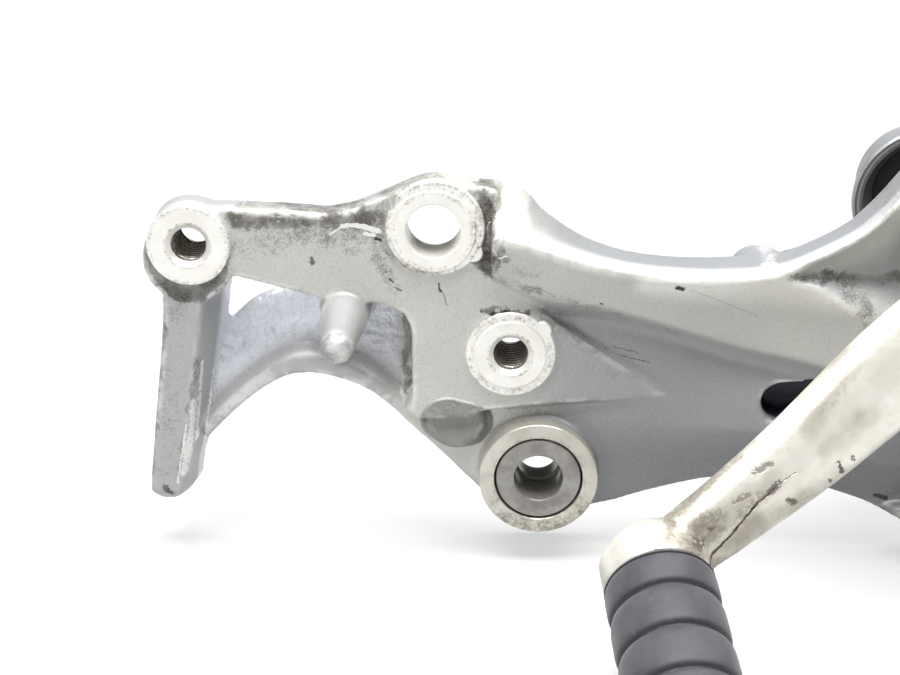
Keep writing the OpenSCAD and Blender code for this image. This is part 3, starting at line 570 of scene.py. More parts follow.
def polished_casting():
    f = Finish("polished_casting")
    stretch = f.tree.nodes.new("ShaderNodeMapping")
    stretch.inputs["Rotation"].default_value = (0.0, math.radians(33.0), 0.0)
    stretch.inputs["Scale"].default_value = (70.0, 800.0, 800.0)
    f.set(stretch.inputs["Vector"], f.place)
    brushed = f.noise(1.0, 3.0, 0.6, stretch.outputs["Vector"])
    patch = f.noise(70.0, 4.0, 0.6)
    speck = f.noise(900.0, 4.0, 0.65)
    colour = f.mix(f.ramp(patch, 0.3, 0.7), tint(249, 247, 237), tint(236, 232, 218))
    colour = f.mix(f.ramp(brushed, 0.5, 0.75, 0.0, 0.25), colour, tint(206, 200, 184))
    # painted shade with soft edges
    soft_shade = f.times(f.marks(f.jittered(140.0, 0.006), SOFT_SHADE), f.ramp(patch, 0.3, 0.62, 0.5, 1.0))
    colour = f.mix(soft_shade, colour, tint(160, 153, 139))
    # painted shade on the top of the toe dome, which would otherwise catch the light
    dome_shade = f.stroke(f.place, (42.0, -63.0), (51.0, -58.0), 3.0, 4.5)
    colour = f.mix(f.times(dome_shade, 0.9), colour, tint(172, 168, 159))
    # painted shade with a speckled edge: the SHADE strokes and the lever's hollows
    speckled_shade = f.most(f.marks(f.place, SHADE),
                  f.times(f.ramp(f.attribute("hollow"), 0.2, 0.8), 0.7))
    speckled_shade = f.broken(speckled_shade, speck, patch, 0.35, 1.05, 1.3)
    colour = f.mix(f.times(speckled_shade, 0.85), colour, tint(134, 127, 116))
    ragged = f.jittered(1100.0, 0.0016)
    pit = f.times(f.marks(ragged, PITS), f.ramp(speck, 0.36, 0.5))
    pit = f.most(pit, f.marks(f.jittered(500.0, 0.0012), CRACK))
    colour = f.mix(pit, colour, f.mix(f.ramp(speck, 0.45, 0.55), tint(70, 62, 58), tint(112, 98, 92)))
    normal = f.bump(f.noise(420.0, 3.0), 0.00006, 0.3)
    normal = f.bump(f.times(pit, -1.0), 0.0002, 0.7, normal)
    rough = f.math("ADD", f.ramp(brushed, 0.3, 0.75, 0.34, 0.46), f.times(pit, 0.3))
    return f.shape(Base_Color=colour, Metallic=0.45, Roughness=rough, Normal=normal,
                   Coat_Weight=0.14, Coat_Roughness=0.3)


polished = polished_casting()
print("polished casting:", len(polished.node_tree.nodes), "nodes")

# %% [markdown]
# ## Rubber
# The toe peg's rubber is dark grey with pale dust rubbed into its skin. The
# dust is left out of its grooves, so they are darker: painted shade.

# %% Rubber
def rubber(name, skin, dust, amount):
    f = Finish(name)
    grain = f.noise(1600.0, 3.0, 0.6)
    patch = f.noise(120.0, 5.0, 0.65)
    # 1 on the ribs, 0 in the grooves, which are left dark as painted shade
    lit_ribs = f.ramp(f.attribute("hollow"), 0.15, 0.6, 1.0, 0.0)
    powder = f.times(f.ramp(patch, 0.32, 0.7, 0.45, 1.0), amount)
    powder = f.times(powder, lit_ribs)
    colour = f.mix(powder, skin, dust)
    colour = f.mix(f.ramp(f.noise(700.0, 2.0), 0.62, 0.7, 0.0, 0.4), colour, dust)
    normal = f.bump(grain, 0.00006, 0.35)
    return f.shape(Base_Color=colour, Metallic=0.0, Roughness=f.ramp(patch, 0.3, 0.7, 0.55, 0.72),
                   Normal=normal, Sheen_Weight=0.2, Sheen_Roughness=0.5)


toe_skin = rubber("toe_rubber_skin", tint(44, 43, 48), tint(84, 83, 90), 0.75)
black_rubber = rubber("black_rubber", tint(42, 42, 45), tint(92, 91, 94), 0.5)
cup_dark = rubber("cup_lining", tint(84, 83, 87), tint(122, 121, 123), 0.6)
print("rubbers:", toe_skin.name, black_rubber.name)

# %% [markdown]
# ## Turned pieces
# Bosses, collars, bushes and washers are all made on a lathe, so one helper
# spins an outline of (radius, depth) round an axis. It marks how far each
# point is from the axis, for the turning rings. A threaded hole is a spun
# wall whose radius climbs with the angle, which is a true helix.

# %% Turned pieces
def spun_grid(name, rows, closed, values, skin):
    """A mesh from rows of points; each row is one turn round the axis. The values, one
    for each point, become its "away" attribute."""
    n = len(rows[0])
    verts = [p for row in rows for p in row]
    faces = []
    for i in range(len(rows) - 1 + (1 if closed else 0)):
        a, b = i * n, ((i + 1) % len(rows)) * n
        for k in range(n):
            m = (k + 1) % n
            faces.append((a + k, a + m, b + m, b + k))
    mesh = bpy.data.meshes.new(name)
    mesh.from_pydata(verts, [], faces)
    away = mesh.attributes.new("away", "FLOAT", "POINT")
    away.data.foreach_set("value", values)
    mesh.materials.append(skin)
    return mesh


def turned(name, centre, outline, skin, steps=96, axis=None):
    """A ring spun round Y at centre (x, z) in mm; outline is (radius, y) in mm."""
    rows, distances = [], []
    for radius, depth in outline:
        ring = []
        for k in range(steps):
            a = 2 * math.pi * k / steps
            ring.append(Vector((radius * math.cos(a), depth, radius * math.sin(a))))
        rows.append(ring)
        distances += [radius * mm] * steps
    if axis is None:
        axis = Matrix.Translation((centre[0], 0.0, centre[1]))
    rows = [[(axis @ p) * mm for p in ring] for ring in rows]
    mesh = spun_grid(name, rows, True, distances, skin)
    form = bmesh.new()
    form.from_mesh(mesh)
    bmesh.ops.recalc_face_normals(form, faces=form.faces)
    form.to_mesh(mesh)
    form.free()
    smooth_by_angle(mesh, 28)
    return linked(name, mesh)


def rounded(outline, size):
    """Cuts each corner of a closed outline, so that its edge catches the light."""
    out = []
    n = len(outline)
    for i in range(n):
        p, a, b = (Vector(outline[j % n]) for j in (i, i - 1, i + 1))
        for q in (a, b):
            reach = min(size, (q - p).length * 0.45)
            out.append(tuple(p + (q - p).normalized() * reach))
    return out


def tube(name, centre, inner, outer, y0, y1, skin, size=0.25, steps=96):
    outline = rounded([(inner, y0), (outer, y0), (outer, y1), (inner, y1)], size)
    return turned(name, centre, outline, skin, steps)


def thread(name, centre, minor, major, pitch, y0, y1, skin, steps=64):
    """The wall of a threaded hole: a V with narrow flats at its roots and crests. Its
    "away" attribute is the share of the full depth."""
    rows_per_turn, flank, root = 10, 2.3, 0.08
    last = int((y1 - y0) / pitch * rows_per_turn)
    rows, depths = [], []
    for i in range(last + 1):
        y = y0 + (y1 - y0) * i / last
        ring = []
        for k in range(steps):
            a = 2 * math.pi * k / steps
            phase = (y / pitch + a / (2 * math.pi)) % 1.0
            deep = min(1.0, max(0.0, 1.0 - abs(phase - 0.5) * flank + root))
            end = min(1.0, (y - y0) / pitch, (y1 - y) / pitch)
            radius = minor + (major - minor) * deep * max(0.0, end)
            ring.append(Vector((centre[0] + radius * math.cos(a), y,
                                centre[1] + radius * math.sin(a))) * mm)
            depths.append(deep)
        rows.append(ring)
    mesh = spun_grid(name, rows, False, depths, skin)
    mesh.flip_normals()
    smooth_by_angle(mesh, 40)
    return linked(name, mesh)


def joined(name, things):
    """Several meshes made one, with their materials and attributes kept."""
    with bpy.context.temp_override(active_object=things[0], object=things[0],
                                   selected_objects=things,
                                   selected_editable_objects=things):
        bpy.ops.object.join()
    things[0].name = name
    things[0].data.name = name
    return things[0]


# %% [markdown]
# ## Cast bodies
# A casting has no sharp corners: its walls run into each other in fillets,
# and its outer edges are rounded by the mould. The CAD body has the right
# walls with hard corners, so a copy is turned into an even net of small
# squares and then relaxed: each point moves towards the middle of its
# neighbours, more where the real fillets are wide. The machined holes are
# opened and their faces sunk a little, so that turned inserts, which stay
# sharp, can take their place. Last, points are thinned where the surface
# is flat, because they only count at bends.

# %% Cast bodies
def net_of(mesh):
    points = np.empty(len(mesh.vertices) * 3)
    mesh.vertices.foreach_get("co", points)
    edges = np.empty(len(mesh.edges) * 2, dtype=np.int64)
    mesh.edges.foreach_get("vertices", edges)
    return points.reshape(-1, 3), edges.reshape(-1, 2)


def neighbour_mean(points, edges, degree):
    total = np.empty_like(points)
    for k in range(3):
        total[:, k] = (np.bincount(edges[:, 0], points[edges[:, 1], k], len(points))
                       + np.bincount(edges[:, 1], points[edges[:, 0], k], len(points)))
    return total / degree[:, None]


def relaxed(points, edges, weight, rounds):
    degree = np.bincount(edges.ravel(), minlength=len(points)).astype(float)
    for _ in range(rounds):
        points = points + weight[:, None] * (neighbour_mean(points, edges, degree) - points)
    return points


def normals_of(mesh):
    out = np.empty(len(mesh.vertices) * 3)
    mesh.vertices.foreach_get("normal", out)
    return out.reshape(-1, 3)


def put(mesh, points):
    mesh.vertices.foreach_set("co", points.ravel())
    mesh.update()


def cast_net(node, name, size, rounds, weight_at):
    """The relaxed net of a CAD node, with its hollow and edge marks. Where a point lies
    off a much smoother net, inwards or outwards, it is in a hollow or on an edge."""
    full_bend = 0.35 * mm
    thing = merged_copy(node, name)
    remesh = thing.modifiers.new("net", "REMESH")
    remesh.mode = "VOXEL"
    remesh.voxel_size = size * mm
    applied(thing)
    points, edges = net_of(thing.data)
    weight = weight_at(points / mm)
    points = relaxed(points, edges, weight, rounds)
    put(thing.data, points)
    wide = relaxed(points, edges, np.full(len(points), 0.6), 14)
    bend = np.einsum("ij,ij->i", wide - points, normals_of(thing.data))
    bend = relaxed(np.repeat(bend[:, None], 3, 1), edges, np.full(len(points), 0.5), 3)[:, 0]
    for key, sign in (("hollow", 1.0), ("edge", -1.0)):
        mark = thing.data.attributes.new(key, "FLOAT", "POINT")
        mark.data.foreach_set("value", np.clip(sign * bend / full_bend, 0.0, 1.0))
    print(name, "net of", len(points), "points")
    return thing


def open_hole(points, centre, radius, y0, y1):
    """Moves the wall of a hole outwards to the radius."""
    d = points[:, [0, 2]] - np.array(centre)
    away = np.hypot(d[:, 0], d[:, 1])
    inside = (away < radius) & (points[:, 1] > y0) & (points[:, 1] < y1) & (away > 1e-6)
    scale = np.where(inside, radius / np.maximum(away, 1e-6), 1.0)
    points[:, 0] = centre[0] + d[:, 0] * scale
    points[:, 2] = centre[1] + d[:, 1] * scale


def sink_face(points, centre, radius, face, deep, into):
    """Presses a round face down by deep; into is +1 where the metal lies behind it.
    Points that stand out further than a fillet are another wall, and stay."""
    fillet = 1.5
    away = np.hypot(points[:, 0] - centre[0], points[:, 2] - centre[1])
    level = face + deep * into
    above = (level - points[:, 1]) * into
    over = (away < radius) & (above > 0) & (above < deep + fillet)
    points[over, 1] = level


def thinned(thing, triangles):
    have = count(thing)
    if have > triangles:
        fewer = thing.modifiers.new("fewer", "DECIMATE")
        fewer.ratio = triangles / have
        applied(thing)
    thing.data.polygons.foreach_set("use_smooth", [True] * len(thing.data.polygons))
    return thing


# %% [markdown]
# ## The hanger
# One casting carries everything. Its numbers repeat the CAD's: the centres
# of the bosses and how far their faces stand out.

# %% Sizes of the hanger
FRONT = (-59.0, -4.2)
PLAIN = (0.0, 0.0)
MIDDLE = (18.9, -31.6)
LOWER = (26.2, -64.4)
CUP = (123.0, -0.4)
PIVOT = (165.0, 8.0)
REAR = (80.3, -17.4)
FRONT_BACK = 17.0
PLAIN_BACK = 10.5
MIDDLE_BACK = 20.0
LOWER_FACE, LOWER_BACK = -1.5, 16.5
PIVOT_FACE = -3.0
CUP_FACE = 29.0
PLAIN_NIB = (9.6, -5.4)
MIDDLE_NIB = (MIDDLE[0] + 7.4, MIDDLE[1] + 6.2)
M10 = {"minor": 4.25, "major": 5.02, "pitch": 1.5}
print("centres of the bosses:", FRONT, PLAIN, MIDDLE, LOWER)


def near(points, centre, inner, outer):
    """1 inside the inner radius, falling to 0 at the outer one, seen along Y."""
    away = np.hypot(points[:, 0] - centre[0], points[:, 2] - centre[1])
    return np.clip((outer - away) / (outer - inner), 0.0, 1.0)


def rising(values, start, width):
    """0 up to start, growing to 1 over the width."""
    return np.clip((values - start) / width, 0.0, 1.0)


def hanger_softness(points):
    """More rounding at the lower boss and on the long rear limb than on the plate."""
    x, y, z = points.T
    limb = rising(x, 16.0, 12.0) * rising(-y, -2.5, 1.5) * (1.0 - 0.55 * rising(x, 72.0, 8.0))
    arch = rising(-x, 8.0, 4.0) * rising(y, 9.5, 2.0)
    skirt = rising(-z, 38.0, 6.0) * rising(x, 44.0, 6.0)
    weight = np.full(len(points), 0.2)
    for region in (0.8 * near(points, LOWER, 17.0, 22.0), 0.6 * limb, 0.45 * arch, 0.5 * skirt):
        weight = np.maximum(weight, region)
    return weight


# %% Cast body of the hanger
net_size = 0.65
hanger = cast_net("hanger", "hanger_casting", net_size, 10, hanger_softness)
hanger.data.materials.append(painted)
net, _ = net_of(hanger.data)
net = net / mm
for centre, radius, near_end, far_end in (
        (FRONT, 6.0, -2, 19), (PLAIN, 7.6, -2, 14), (MIDDLE, 6.0, -2, 22), (LOWER, 12.2, -3, 18),
        (REAR, 3.4, 7, 24), (PIVOT, 6.2, -4, 15), (CUP, 17.4, 28, 33), (CUP, 13.8, 33, 48)):
    open_hole(net, centre, radius, near_end, far_end)
cad_nibs = ((12.6, -7.8), (MIDDLE[0] + 9.6, MIDDLE[1] + 8.6))
for centre, radius, face, deep, into in (
        (FRONT, 10.0, 0.0, 0.5, 1), (PLAIN, 12.2, 0.0, 0.9, 1), (MIDDLE, 11.0, 0.0, 0.9, 1),
        (LOWER, 14.6, LOWER_FACE, 0.5, 1), (cad_nibs[0], 2.6, 0.4, 1.6, 1),
        (cad_nibs[1], 2.6, 0.4, 1.6, 1), (PIVOT, 20.6, PIVOT_FACE, 0.4, 1),
        (FRONT, 9.5, FRONT_BACK, 0.4, -1), (MIDDLE, 10.5, MIDDLE_BACK, 0.4, -1),
        (LOWER, 14.2, LOWER_BACK, 0.4, -1), (CUP, 18.6, CUP_FACE, 1.0, 1)):
    sink_face(net, centre, radius, face, deep, into)
put(hanger.data, net * mm)
thinned(hanger, 150000)
print("hanger casting:", count(hanger), "triangles")

# %% [markdown]
# The inserts are the surfaces that a cutter has touched: a flat ring with a
# broken edge, the bore, and its far end. Two of the holes have an M10 thread.

# %% Machined faces of the hanger
def boss(name, centre, bore, face_r, step_r, back, mouth, step=0.5, deep=0.0):
    """A machined boss: chamfered mouth, face ring, lower step ring and back ring.
    deep is how far the wall steps back behind the mouth, to leave room for a thread."""
    cut = mouth - bore
    outline = [(bore, cut), (mouth, 0.02), (mouth + 0.12, 0.0), (face_r - 0.25, 0.0), (face_r, 0.2)]
    if step_r > face_r:
        outline += [(face_r + 0.05, step), (step_r - 0.3, step), (step_r, step + 0.3)]
    outline += [(max(step_r, face_r), 2.4), (bore + deep + 1.1, 3.0), (bore + deep + 1.1, back - 2.0),
                (face_r - 0.6, back - 1.2), (face_r - 0.6, back - 0.3), (face_r - 0.9, back),
                (mouth, back), (bore, back - cut)]
    if deep:
        outline += [(bore + deep, back - cut - 0.3), (bore + deep, cut + 0.3)]
    return turned(name, centre, outline, bright_face, 128)


def nib(name, centre, radius, face):
    """The small raised lobe at the side of a machined ring."""
    outline = [(0.01, face), (radius - 0.3, face), (radius, face + 0.3), (radius, face + 3.0),
               (0.01, face + 3.0)]
    return turned(name, centre, outline, bright_face, 48)


thread_room = 0.9
inserts = [
    boss("front_face", FRONT, M10["minor"], 10.05, 10.05, FRONT_BACK, 5.5, deep=thread_room),
    boss("plain_face", PLAIN, 6.65, 10.3, 10.3, PLAIN_BACK, 6.9),
    tube("plain_ring", (0.45, 0.6), 8.0, 11.95, 0.4, 3.0, bright_face, 0.3, 128),
    boss("middle_face", MIDDLE, M10["minor"], 8.8, 11.0, MIDDLE_BACK, 5.4, 0.4, deep=thread_room),
    nib("middle_nib", MIDDLE_NIB, 2.5, 0.42),
    nib("plain_nib", PLAIN_NIB, 2.4, 0.42),
    tube("lower_face", LOWER, 11.1, 14.8, LOWER_FACE, LOWER_BACK, lower_face, 0.18, 128),
    tube("pivot_face", PIVOT, 5.1, 20.9, PIVOT_FACE, 14.0, bright_face, 0.4, 128),
    tube("rear_face", REAR, 2.5, 7.6, 10.0, 22.0, bright_face, 0.4, 64),
    thread("front_thread", FRONT, y0=1.2, y1=FRONT_BACK - 1.2, skin=thread_wall, **M10),
    thread("middle_thread", MIDDLE, y0=1.1, y1=MIDDLE_BACK - 1.1, skin=thread_wall, **M10),
]
cup_wall = rounded([(16.5, CUP_FACE), (18.7, CUP_FACE), (18.7, 31.6), (15.2, 36.0), (15.2, 46.95),
                    (10.0, 46.95), (10.0, 44.6), (13.0, 44.4), (13.0, 36.2), (16.5, 31.8)], 0.55)
inserts.append(turned("cup_wall", CUP, cup_wall, painted, 128))
liner = [(16.3, 29.1), (18.2, 28.96), (18.2, 29.3), (16.6, 29.5), (16.6, 31.9), (13.1, 36.3),
         (12.7, 36.2), (16.2, 31.7)]
inserts.append(turned("cup_rim", CUP, liner, cup_dark, 128))
hanger = joined("hanger_casting", [hanger] + inserts)
finished(hanger, "hanger", "cast_silver", "hanger")

# %% [markdown]
# ## Rubber and steel in the two isolated mounts
# The lower mount is a rubber ring with two flanged steel collars; the outer
# collar has the wider hole, so a step shows inside. The cup has a rubber
# ring and a sleeve.

# %% Isolated mounts
collar = rounded([(6.4, -1.2), (10.6, -1.2), (10.6, 0.9), (8.0, 1.1), (8.0, 10.0), (6.0, 10.0),
                  (6.0, -0.8)], 0.22)
finished(turned("lower_collar_outer_turned", LOWER, collar, collar_steel, 128),
         "hanger", "plain_steel", "lower_collar_outer")
collar = rounded([(8.0, 10.0), (8.0, 14.2), (10.6, 14.2), (10.6, 16.5), (5.3, 16.5), (5.3, 10.0)], 0.22)
finished(turned("lower_collar_inner_turned", LOWER, collar, collar_steel, 128),
         "hanger", "plain_steel", "lower_collar_inner")
finished(tube("lower_grommet_ring", LOWER, 8.0, 11.1, 0.9, 14.1, black_rubber, 0.5, 96),
         "hanger", "black_rubber", "lower_grommet")
ring = rounded([(6.0, 36.4), (13.0, 36.4), (13.0, 44.5), (10.0, 44.6), (10.0, 48.5), (6.0, 48.5)], 0.6)
finished(turned("cup_grommet_ring", CUP, ring, black_rubber, 96), "hanger", "black_rubber", "cup_grommet")
finished(tube("cup_sleeve_turned", CUP, 4.2, 6.0, 35.0, 49.5, plain_steel, 0.3, 96),
         "hanger", "plain_steel", "cup_sleeve")

# %% [markdown]
# ## The gear lever
# The lever is cast and polished, so its corners are softer than the CAD's
# but its hub and bore are machined. It is made in the same way as the
# hanger, with a gentler relaxing.

# %% Gear lever
def lever_softness(points):
    return np.full(len(points), 0.5)


lever = cast_net("gear_lever", "gear_lever_casting", 0.55, 8, lever_softness)
lever.data.materials.append(polished)
net, _ = net_of(lever.data)
net = net / mm
hub_face, hub_back, hub_r, seal_r, bush_r, seal_deep = -21.0, -6.0, 17.3, 12.7, 11.5, 1.6
open_hole(net, PIVOT, seal_r - 0.3, hub_face - 1, hub_back + 1)
sink_face(net, PIVOT, hub_r - 0.1, hub_face, 0.4, 1)
sink_face(net, PIVOT, hub_r - 0.1, hub_back, 0.4, -1)
put(lever.data, net * mm)
thinned(lever, 120000)
hub = rounded([(bush_r, hub_face + seal_deep), (seal_r, hub_face + seal_deep), (seal_r, hub_face),
               (hub_r, hub_face), (hub_r, hub_back), (seal_r, hub_back),
               (seal_r, hub_back - seal_deep), (bush_r, hub_back - seal_deep)], 0.3)
lever = joined("gear_lever_casting", [lever, turned("hub", PIVOT, hub, bright_face, 128)])
finished(lever, "lever", "polished_cast", "gear_lever")

# %% Bush, seals and washers of the pivot
finished(tube("lever_bush_turned", PIVOT, 10.05, 11.5, -19.3, -7.7, bronze, 0.2),
         "lever", "bronze", "lever_bush")
seals = joined("dust_seal_rings", [
    tube("outer_seal", PIVOT, 10.08, 12.7, -20.9, -19.5, black_rubber, 0.3),
    tube("inner_seal", PIVOT, 10.08, 12.7, -7.5, -6.1, black_rubber, 0.3)])
finished(seals, "lever", "black_rubber", "dust_seals")
finished(tube("pivot_washer_turned", PIVOT, 10.15, 15.0, -4.55, -3.05, plain_steel, 0.25),
         "hanger", "plain_steel", "pivot_washer")
wavy = tube("wave_washer_pressed", PIVOT, 10.2, 14.0, -5.9, -4.65, dark_steel, 0.1, 96)
finished(wavy, "hanger", "spring_steel", "wave_washer")

# %% [markdown]
# ## Rubber of the toe peg
# It droops by 19 degrees and swells a little towards its end. Wide rounded
# ribs are parted by narrow grooves. Its outline is one list, rib after rib,
# spun round the peg's own axis.

# %% Toe peg rubber
TOE = (Matrix.Translation((51.5, -53.6, -59.7)) @ Matrix.Rotation(math.radians(7.0), 4, "Z")
       @ Matrix.Rotation(math.radians(19.0), 4, "X"))
# the axis helper spins round Y, so the outline's depth runs along -Y, outwards


TOE_FACE = -6.5


def toe_radius(distance):
    """Radius of the ribs at a distance from the boss; it swells towards the end."""
    return 12.6 + 0.5 * distance / 50.0


def toe_outline():
    pitch, start, last, half_gap, steps = 11.5, 9.0, 45.0, 0.8, 12
    outline = [(5.0, TOE_FACE), (11.6, TOE_FACE), (12.2, TOE_FACE - 0.12), (12.5, TOE_FACE - 0.5)]
    for i in range(4):
        low = 0.7 if i == 0 else start + (i - 1) * pitch + half_gap
        high = start + i * pitch - half_gap if i < 3 else last
        for k in range(steps + 1):
            s = low + (high - low) * k / steps
            side = abs(2.0 * k / steps - 1.0)
            outline.append((toe_radius(s) - 0.5 * side ** 5, TOE_FACE - s))
        if i < 3:
            s = start + i * pitch
            for deep, before in ((1.1, 0.5), (1.35, 0.2), (1.35, -0.2), (1.1, -0.5)):
                outline.append((toe_radius(s) - deep, TOE_FACE - s + before))
    outline += [(12.4, -52.0), (11.7, -52.45), (5.0, -52.5)]
    return outline


toe = turned("toe_rubber_ribbed", PIVOT, toe_outline(), toe_skin, 128, TOE)
smooth_by_angle(toe.data, 60)
spots, _ = net_of(toe.data)
back_to_axis = np.array(TOE.inverted())
spots = (spots / mm) @ back_to_axis[:3, :3].T + back_to_axis[:3, 3]
across = np.hypot(spots[:, 0], spots[:, 2])
swell = toe_radius(TOE_FACE - spots[:, 1])
groove = toe.data.attributes.new("hollow", "FLOAT", "POINT")
groove.data.foreach_set("value", np.clip((swell - across) / 1.1, 0.0, 1.0))
finished(toe, "lever", "grey_rubber", "toe_rubber")

# %% [markdown]
# ## Small steel pieces
# Bolts, pins and the forged footpeg keep the CAD's shape. A narrow bevel on
# every hard edge is what makes them read as metal, because it is the bevel
# that catches the light.

# %% Bevelled pieces
def bevelled(thing, width, segments, degrees):
    """Cuts each edge that turns by more than degrees; width is in mm."""
    bevel = thing.modifiers.new("bevel", "BEVEL")
    bevel.width = width * mm
    bevel.segments = segments
    bevel.limit_method = "ANGLE"
    bevel.angle_limit = math.radians(degrees)
    return applied(thing)


def edged(node, name, width, skin, body, slot):
    """A CAD node with its edges bevelled and a new skin."""
    thing = merged_copy(node, name)
    flat = thing.modifiers.new("flat", "DECIMATE")
    flat.decimate_type = "DISSOLVE"
    flat.angle_limit = math.radians(0.6)
    applied(thing)
    bevelled(thing, width, 2, 32)
    thing.data.materials.clear()
    thing.data.materials.append(skin)
    smooth_by_angle(thing.data, 35)
    return finished(thing, body, slot, node)


for node, name, width, skin, body, slot in (
        ("linkage_stud", "linkage_ball_stud", 0.2, zinc_steel, "lever", "zinc_steel"),
        ("linkage_nut", "linkage_lock_nut", 0.35, zinc_steel, "lever", "zinc_steel"),
        ("step_bolt", "step_bolt_hex", 0.4, plain_steel, "hanger", "plain_steel"),
        ("step_bolt_washer", "step_bolt_washer_flat", 0.25, zinc_steel, "hanger", "zinc_steel"),
        ("step_dowel", "step_dowel_pin", 0.2, plain_steel, "hanger", "plain_steel"),
        ("step_holder", "step_holder_forging", 0.9, forged, "hanger", "forged_alloy"),
        ("footpeg", "footpeg_forging", 0.8, forged, "peg", "forged_alloy"),
        ("rubber_screws", "pad_screws", 0.25, zinc_steel, "peg", "zinc_steel"),
        ("clevis_pin", "clevis_pin_turned", 0.3, zinc_steel, "hanger", "zinc_steel"),
        ("pin_washer", "pin_washer_flat", 0.2, zinc_steel, "hanger", "zinc_steel"),
        ("pin_clip", "pin_clip_sprung", 0.12, dark_steel, "hanger", "spring_steel"),
        ("feeler_bolt", "feeler_bolt_turned", 0.35, zinc_steel, "peg", "zinc_steel")):
    edged(node, name, width, skin, body, slot)

# %% [markdown]
# ## Spring and pad ribs
# The return spring follows a rule: so many turns of one wire at one radius.
# The ribs of the footpeg's pad repeat at one pitch. Both are made by
# Geometry Nodes with their sizes as named inputs, so that a change of a
# number makes a new spring or pad. The result is turned into plain mesh.

# %% Helper for Geometry Nodes
class Grower(Graph):
    """A Geometry Nodes tree with named inputs, which ends in one material."""

    def __init__(self, name, sizes):
        self.sizes = sizes
        self.tree = bpy.data.node_groups.new(name, "GeometryNodeTree")
        face = self.tree.interface
        for key, value in sizes.items():
            kind = "NodeSocketInt" if isinstance(value, int) else "NodeSocketFloat"
            face.new_socket(key, in_out="INPUT", socket_type=kind)
        face.new_socket("Geometry", in_out="OUTPUT", socket_type="NodeSocketGeometry")
        self.given = self.tree.nodes.new("NodeGroupInput").outputs

    def grown(self, name, geometry, skin):
        real = self.add("GeometryNodeRealizeInstances", Geometry=geometry)
        dressed = self.add("GeometryNodeSetMaterial", Geometry=real.outputs[0], Material=skin)
        out = self.tree.nodes.new("NodeGroupOutput")
        self.tree.links.new(dressed.outputs[0], out.inputs[0])
        thing = linked(name, bpy.data.meshes.new(name))
        thing.data.materials.append(skin)
        maker = thing.modifiers.new("grown", "NODES")
        maker.node_group = self.tree
        for item in self.tree.interface.items_tree:
            if item.in_out == "INPUT":
                maker[item.identifier] = self.sizes[item.name]
        return applied(thing)


# %% Return spring
def return_spring():
    coil_r, length = 5.4 * mm, 6.8 * mm
    x, y, z = 161.6 * mm, -50.0 * mm, PIVOT[1] * mm
    g = Grower("spring_coil", {"Wire radius": 0.9 * mm, "Coil radius": coil_r, "Length": length,
                               "Turns": 3.75})
    coil = g.add("GeometryNodeCurveSpiral", Resolution=40, Rotations=g.given["Turns"],
                 Start_Radius=g.given["Coil radius"], End_Radius=g.given["Coil radius"],
                 Height=g.given["Length"])
    placed = g.add("GeometryNodeTransform", Geometry=coil.outputs[0], Translation=(x, y, z),
                   Rotation=(0.0, math.radians(90.0), 0.0))
    under, end, behind = z - coil_r, x + length, y - coil_r
    legs = [g.add("GeometryNodeCurvePrimitiveLine", Start=a, End=b)
            for a, b in (((x, -37.0 * mm, under), (x, -50.5 * mm, under)),
                         ((end, behind, 8.5 * mm), (end, behind, 1.4 * mm)))]
    wires = g.add("GeometryNodeJoinGeometry")
    for part in [placed] + legs:
        g.tree.links.new(part.outputs[0], wires.inputs[0])
    ring = g.add("GeometryNodeCurvePrimitiveCircle", Resolution=16, Radius=g.given["Wire radius"])
    solid = g.add("GeometryNodeCurveToMesh", Curve=wires.outputs[0], Profile_Curve=ring.outputs[0],
                  Fill_Caps=True)
    return g.grown("return_spring_wire", solid.outputs[0], dark_steel)


spring = return_spring()
smooth_by_angle(spring.data, 50)
finished(spring, "hanger", "spring_steel", "return_spring")

# %% Pad of the footpeg
def pad_ribs():
    pitch, gap = 6.4444 * mm, 1.8 * mm
    g = Grower("pad_rib_row", {"Ribs": 9, "Pitch": pitch, "Rib width": pitch - gap})
    row = g.add("GeometryNodeMeshLine", Count=g.given["Ribs"],
                Start_Location=(PIVOT[0] * mm, -131.78 * mm, 15.75 * mm))
    step = g.add("ShaderNodeCombineXYZ", Y=g.given["Pitch"])
    g.tree.links.new(step.outputs[0], row.inputs["Offset"])
    size = g.add("ShaderNodeCombineXYZ", X=28.0 * mm, Y=g.given["Rib width"], Z=3.5 * mm)
    rib = g.add("GeometryNodeMeshCube", Size=size.outputs[0])
    ribs = g.add("GeometryNodeInstanceOnPoints", Points=row.outputs[0], Instance=rib.outputs[0])
    return g.grown("pad_ribs", ribs.outputs[0], black_rubber)


def softened(thing, width):
    bevelled(thing, width, 3, 30)
    smooth_by_angle(thing.data, 40)
    return thing


profile = [(-15.0, -4.5), (-15.0, 7.0), (15.0, 7.0), (15.0, -4.5), (12.0, -4.5), (12.0, 2.0),
           (-12.0, 2.0), (-12.0, -4.5)]
form = bmesh.new()
ends = [[form.verts.new(((PIVOT[0] + x) * mm, y * mm, (PIVOT[1] + z) * mm)) for x, z in profile]
        for y in (-137.0, -75.0)]
for k in range(len(profile)):
    form.faces.new((ends[0][k], ends[0][k - 1], ends[1][k - 1], ends[1][k]))
for end in ends:
    form.faces.new((end[0], end[1], end[6], end[7]))
    form.faces.new((end[1], end[2], end[5], end[6]))
    form.faces.new((end[2], end[3], end[4], end[5]))
bmesh.ops.recalc_face_normals(form, faces=form.faces)
base_mesh = bpy.data.meshes.new("pad_base")
form.to_mesh(base_mesh)
form.free()
base_mesh.materials.append(black_rubber)
pad = joined("footpeg_pad", [softened(linked("pad_base", base_mesh), 1.2), softened(pad_ribs(), 0.9)])
finished(pad, "peg", "grey_rubber", "footpeg_rubber")

# %% [markdown]
# ## Floor and light
# The object stands over a plain pale floor. The floor shows almost white to
# the camera and to reflections, and keeps a soft shadow. A broad lamp above
# and the pale surroundings give the even light of a photograph taken by a
# window, and leave the underside darker.

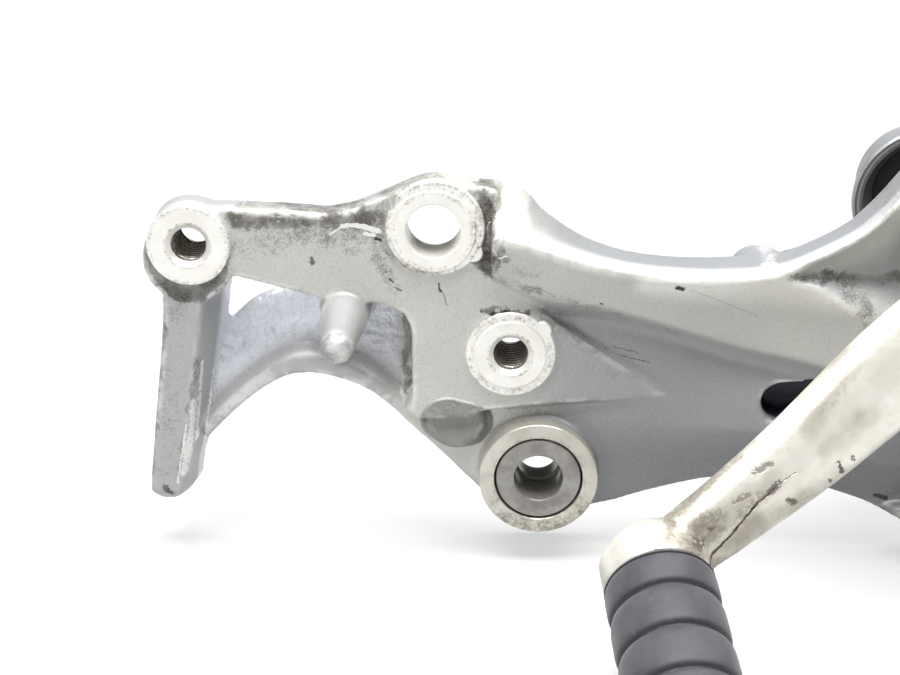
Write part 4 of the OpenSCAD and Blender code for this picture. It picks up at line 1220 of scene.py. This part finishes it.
# %% Floor
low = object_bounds()[0].z
half = 3.0
corners = [(-half, -half, low), (half, -half, low), (half, half, low), (-half, half, low)]
floor_mesh = bpy.data.meshes.new("floor")
floor_mesh.from_pydata(corners, [], [(0, 1, 2, 3)])
floor = linked("floor", floor_mesh)
f = Finish("floor_white")
paths = f.tree.nodes.new("ShaderNodeLightPath").outputs
seen = f.most(paths["Is Camera Ray"], paths["Is Glossy Ray"])
reach = f.add("VectorMath")
reach.operation = "LENGTH"
f.set(reach.inputs[0], f.place)
glow = f.ramp(reach.outputs["Value"], 0.45, 1.1, 0.56, 1.0)
f.shape(Base_Color=(0.36, 0.36, 0.36, 1.0), Roughness=0.9, Emission_Color=(1.0, 1.0, 1.0, 1.0),
        Emission_Strength=f.times(seen, glow))
floor_mesh.materials.append(f.material)

# %% Light
world = bpy.data.worlds.new("surroundings")
bpy.context.scene.world = world
world.use_nodes = True
tree = world.node_tree
background = tree.nodes["Background"]
where = tree.nodes.new("ShaderNodeTexCoord").outputs["Generated"]
parts = tree.nodes.new("ShaderNodeSeparateXYZ")
tree.links.new(where, parts.inputs[0])
rise = tree.nodes.new("ShaderNodeMapRange")
for key, number in (("From Min", -0.1), ("From Max", 0.95), ("To Min", 0.28), ("To Max", 1.95)):
    rise.inputs[key].default_value = number
tree.links.new(parts.outputs["Z"], rise.inputs["Value"])
light_paths = tree.nodes.new("ShaderNodeLightPath").outputs
strength = tree.nodes.new("ShaderNodeMix")
strength.data_type = "FLOAT"
tree.links.new(light_paths["Is Camera Ray"], strength.inputs["Factor"])
tree.links.new(rise.outputs["Result"], strength.inputs["A"])
strength.inputs["B"].default_value = 1.0
tree.links.new(strength.outputs["Result"], background.inputs["Strength"])


def lamp(name, place, target, size, power):
    data = bpy.data.lights.new(name, "AREA")
    data.shape = "RECTANGLE"
    data.size, data.size_y = size
    data.energy = power
    thing = bpy.data.objects.new(name, data)
    bpy.context.scene.collection.objects.link(thing)
    thing.location = place
    aim = Vector(target) - Vector(place)
    thing.rotation_mode = "QUATERNION"
    thing.rotation_quaternion = aim.to_track_quat("-Z", "Y")


lamp("window_above", (0.05, -0.12, 0.95), (0.04, 0.0, -0.02), (1.1, 0.7), 28.0)
lamp("soft_front", (-0.5, -0.9, 0.45), (0.03, 0.0, -0.03), (0.8, 0.8), 2.6)
bpy.context.scene.view_settings.view_transform = "Standard"
